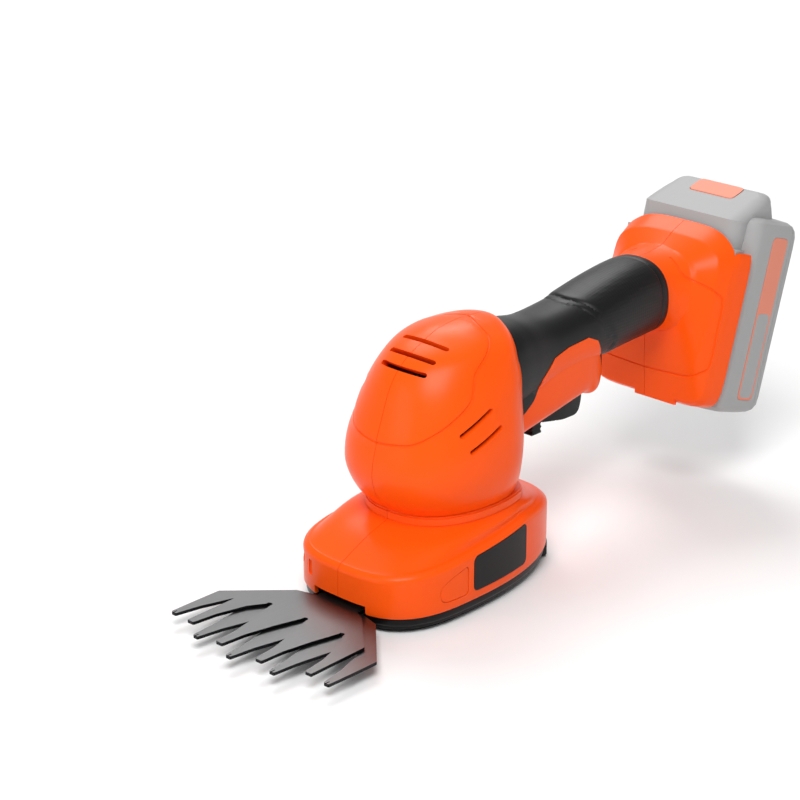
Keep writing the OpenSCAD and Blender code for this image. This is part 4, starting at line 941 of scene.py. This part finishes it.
# Two colours, roughness, grain, bump, then metal and gloss where they differ
PLAIN_FINISHES = {
    "housing_plastic": ((1.0, 0.1, 0.004), (0.93, 0.086, 0.003), 0.3, 1500, 0.1, 0.0, 0.16),
    "badge_plastic": ((0.007, 0.007, 0.008), (0.005, 0.005, 0.0055), 0.4, 1500, 0.1),
    "black_plastic": ((0.002, 0.002, 0.0022), (0.003, 0.003, 0.0033), 0.36, 1300, 0.14),
    "steel": ((0.5, 0.5, 0.51), (0.38, 0.38, 0.4), 0.32, 900, 0.05, 1.0),
    "bronze": ((0.55, 0.33, 0.12), (0.42, 0.25, 0.1), 0.38, 900, 0.06, 1.0),
    "magnet": ((0.06, 0.06, 0.065), (0.04, 0.04, 0.045), 0.55, 900, 0.2),
    "copper_winding": ((0.5, 0.18, 0.07), (0.36, 0.12, 0.05), 0.4, 2400, 0.5, 0.8),
    "board_green": ((0.02, 0.12, 0.05), (0.015, 0.08, 0.035), 0.5, 1200, 0.15),
    "red_lead": ((0.45, 0.02, 0.02), (0.33, 0.015, 0.015), 0.45, 1200, 0.1),
    "black_lead": ((0.016, 0.016, 0.017), (0.025, 0.025, 0.026), 0.45, 1200, 0.1),
    "pack_plastic": ((0.4, 0.4, 0.4), (0.36, 0.36, 0.36), 0.5, 1500, 0.12),
    "pack_accent": ((0.8, 0.27, 0.18), (0.74, 0.24, 0.155), 0.45, 1500, 0.1),
    "cell_wrap": ((0.03, 0.2, 0.14), (0.02, 0.14, 0.1), 0.4, 1200, 0.08),
}
finishes = {slot: material(slot, *look) for slot, look in PLAIN_FINISHES.items()}
finishes["grip_rubber"] = dotted_rubber("grip_rubber", (0.005, 0.0052, 0.0057), (0.0035, 0.0035, 0.004))
finishes["blade_steel"] = ground_steel("blade_steel", (0.17, 0.17, 0.172), (0.13, 0.13, 0.132), 0.36)

for part in frame["record"]["subparts"]:
    mesh = frame["nodes"][part["node"]].data
    mesh.materials.clear()
    mesh.materials.append(finishes[part["material_slot"]])


def flatten_shading(piece):
    """Shades wide faces flat and leaves the turn to the narrow faces between them."""
    piece.data.shade_smooth()
    piece.data.set_sharp_from_angle(angle=math.radians(35))
    weigh = piece.modifiers.new("weigh", "WEIGHTED_NORMAL")
    weigh.keep_sharp = True
    return bake(piece)


def place(piece, body, nodes, slot, shaded=False):
    """Finishes a piece and lets it stand for its solids."""
    piece.data.materials.clear()
    piece.data.materials.append(finishes[slot])
    for face in piece.data.polygons:
        face.material_index = 0
    if not shaded:
        piece.data.shade_smooth()
        piece.data.set_sharp_from_angle(angle=math.radians(30))
    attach(piece, body)
    for node in nodes:
        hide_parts(node)


left, right = (flatten_shading(half) for half in housing())
place(left, "tool", ["left_housing"], "housing_plastic", shaded=True)
place(right, "tool", ["right_housing"], "housing_plastic", shaded=True)
place(grip(), "tool", ["left_grip", "right_grip"], "grip_rubber")
place(badge(), "tool", ["badge_plate"], "badge_plastic")
place(release_button("release_left", -1), "left_button", ["left_release_button"], "housing_plastic")
place(release_button("release_right", 1), "right_button", ["right_release_button"], "housing_plastic")
place(sole(), "sole", ["sole_cover"], "black_plastic")
place(fixed_blade(), "tool", ["fixed_blade"], "blade_steel")
place(moving_blade(), "blade", ["moving_blade"], "blade_steel")
place(trigger(), "trigger", ["trigger"], "black_plastic")
place(lock(), "lock", ["lock_tab"], "black_plastic")
pack_front, pack_rear = pack_shells()
place(pack_front, "battery", ["pack_front_shell"], "pack_plastic")
place(pack_rear, "battery", ["pack_rear_shell"], "pack_plastic")
place(turn(label_form("label_left", -1)), "battery", ["pack_label_left"], "pack_accent")
place(turn(label_form("label_right", 1)), "battery", ["pack_label_right"], "pack_accent")
for side, name in ((-1, "label_field_left"), (1, "label_field_right")):
    place(turn(label_form(name, side, 0, LABEL_FIELD, 37.7)), "battery", [], "pack_plastic")
place(pack_button(), "pack_latch", ["pack_button"], "pack_accent")


# Springs, copied from their solids
def spring(node, body, axis):
    """A copy of a spring's solid, finished in steel and riding with a body."""
    piece = twin(frame["nodes"][node], node + "_coil")
    axis = Vector(axis).normalized()
    place(piece, body, [node], "steel")
    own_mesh(piece)


spring("lock_spring", "tool", (1, 0, 0))
spring("trigger_spring", "tool", (0, 0, 1))
spring("left_release_spring", "tool", (0, 1, 0))
spring("right_release_spring", "tool", (0, 1, 0))
PACK_AXIS = (math.sin(TILT), 0, math.cos(TILT))
spring("pack_button_spring", "battery", PACK_AXIS)


# Floor, light and camera
SWEEP = [(5500, -0.3), (6500, 60), (7500, 260), (8400, 650), (9100, 1300), (9500, 2200), (9600, 3400)]
SWEEP_N = 96
LAMPS = (
    ("key", (-0.75, -0.6, 1.4), (0, 0, 0.05), 0.8, 20),
    ("fill", (-1.5, 0.3, 0.7), (0, 0, 0.05), 0.9, 4),
    ("back", (0.7, 0.9, 1.4), (0.05, 0, 0.08), 0.9, 16),
)
CAMERA_SPOT = (-0.7944, -0.7136, 0.5015)
CAMERA_TARGET = (0.1386, 0.1814, -0.004)


def floor_finish():
    """A pale floor that glows a little far from the lamps, so that it stays pale there."""
    finish = material("floor", (0.93, 0.93, 0.93), (0.9, 0.9, 0.9), 0.85, 60, 0.02)
    nodes, links = finish.node_tree.nodes, finish.node_tree.links
    shader = nodes["Principled BSDF"]
    shader.inputs["Emission Color"].default_value = (1, 1, 1, 1)
    spot = add(nodes, "NewGeometry")
    away = add(nodes, "VectorMath")
    away.operation = "LENGTH"
    far = add(nodes, "MapRange", From_Min=0.6, From_Max=2.4, To_Max=0.6)
    far.interpolation_type = "SMOOTHSTEP"
    rays = add(nodes, "LightPath")
    seen, shown, glow = (add(nodes, "Math") for _ in range(3))
    glow.operation = "MULTIPLY"
    for source, target in (
            (spot.outputs["Position"], away.inputs[0]),
            (away.outputs["Value"], far.inputs["Value"]),
            (rays.outputs["Is Camera Ray"], seen.inputs[0]),
            (rays.outputs["Is Glossy Ray"], seen.inputs[1]),
            (seen.outputs[0], shown.inputs[0]),
            (rays.outputs["Is Transmission Ray"], shown.inputs[1]),
            (far.outputs["Result"], glow.inputs[0]),
            (shown.outputs[0], glow.inputs[1]),
            (glow.outputs[0], shader.inputs["Emission Strength"])):
        links.new(source, target)
    return finish


def round_floor():
    """A round floor that sweeps up at its rim."""
    points = [(r * math.cos(a), r * math.sin(a), z) for r, z in SWEEP
              for a in np.arange(SWEEP_N) * 2 * math.pi / SWEEP_N]
    faces = [tuple(range(SWEEP_N))]
    for k in range(0, SWEEP_N * (len(SWEEP) - 1), SWEEP_N):
        for i in range(SWEEP_N):
            j = (i + 1) % SWEEP_N
            faces.append((k + i, k + j, k + SWEEP_N + j, k + SWEEP_N + i))
    floor = solid("floor", points, faces)
    for face in floor.data.polygons:
        face.use_smooth = face.index > 0
    floor.data.materials.append(floor_finish())


def aim(name, data, spot, target):
    """Sets up a lamp or camera that looks from a spot at a target."""
    thing = bpy.data.objects.new(name, data)
    scene.collection.objects.link(thing)
    thing.location = spot
    thing.rotation_euler = (Vector(target) - Vector(spot)).to_track_quat("-Z", "Y").to_euler()
    return thing


def studio():
    """The floor, the light and the camera of the photo."""
    round_floor()
    scene.world = bpy.data.worlds.new("studio")
    scene.world.use_nodes = True
    sky = scene.world.node_tree.nodes["Background"]
    sky.inputs["Color"].default_value = (1, 1, 1, 1)
    sky.inputs["Strength"].default_value = 0.3
    for name, spot, target, size, power in LAMPS:
        light = bpy.data.lights.new(name, "AREA")
        light.size = size
        light.energy = power
        aim(name, light, spot, target)
    view = bpy.data.cameras.new("camera")
    view.lens = 108
    view.sensor_width = 36
    view.clip_start = 0.05
    view.clip_end = 50
    scene.camera = aim("camera", view, CAMERA_SPOT, CAMERA_TARGET)
    scene.view_settings.view_transform = "Standard"


studio()
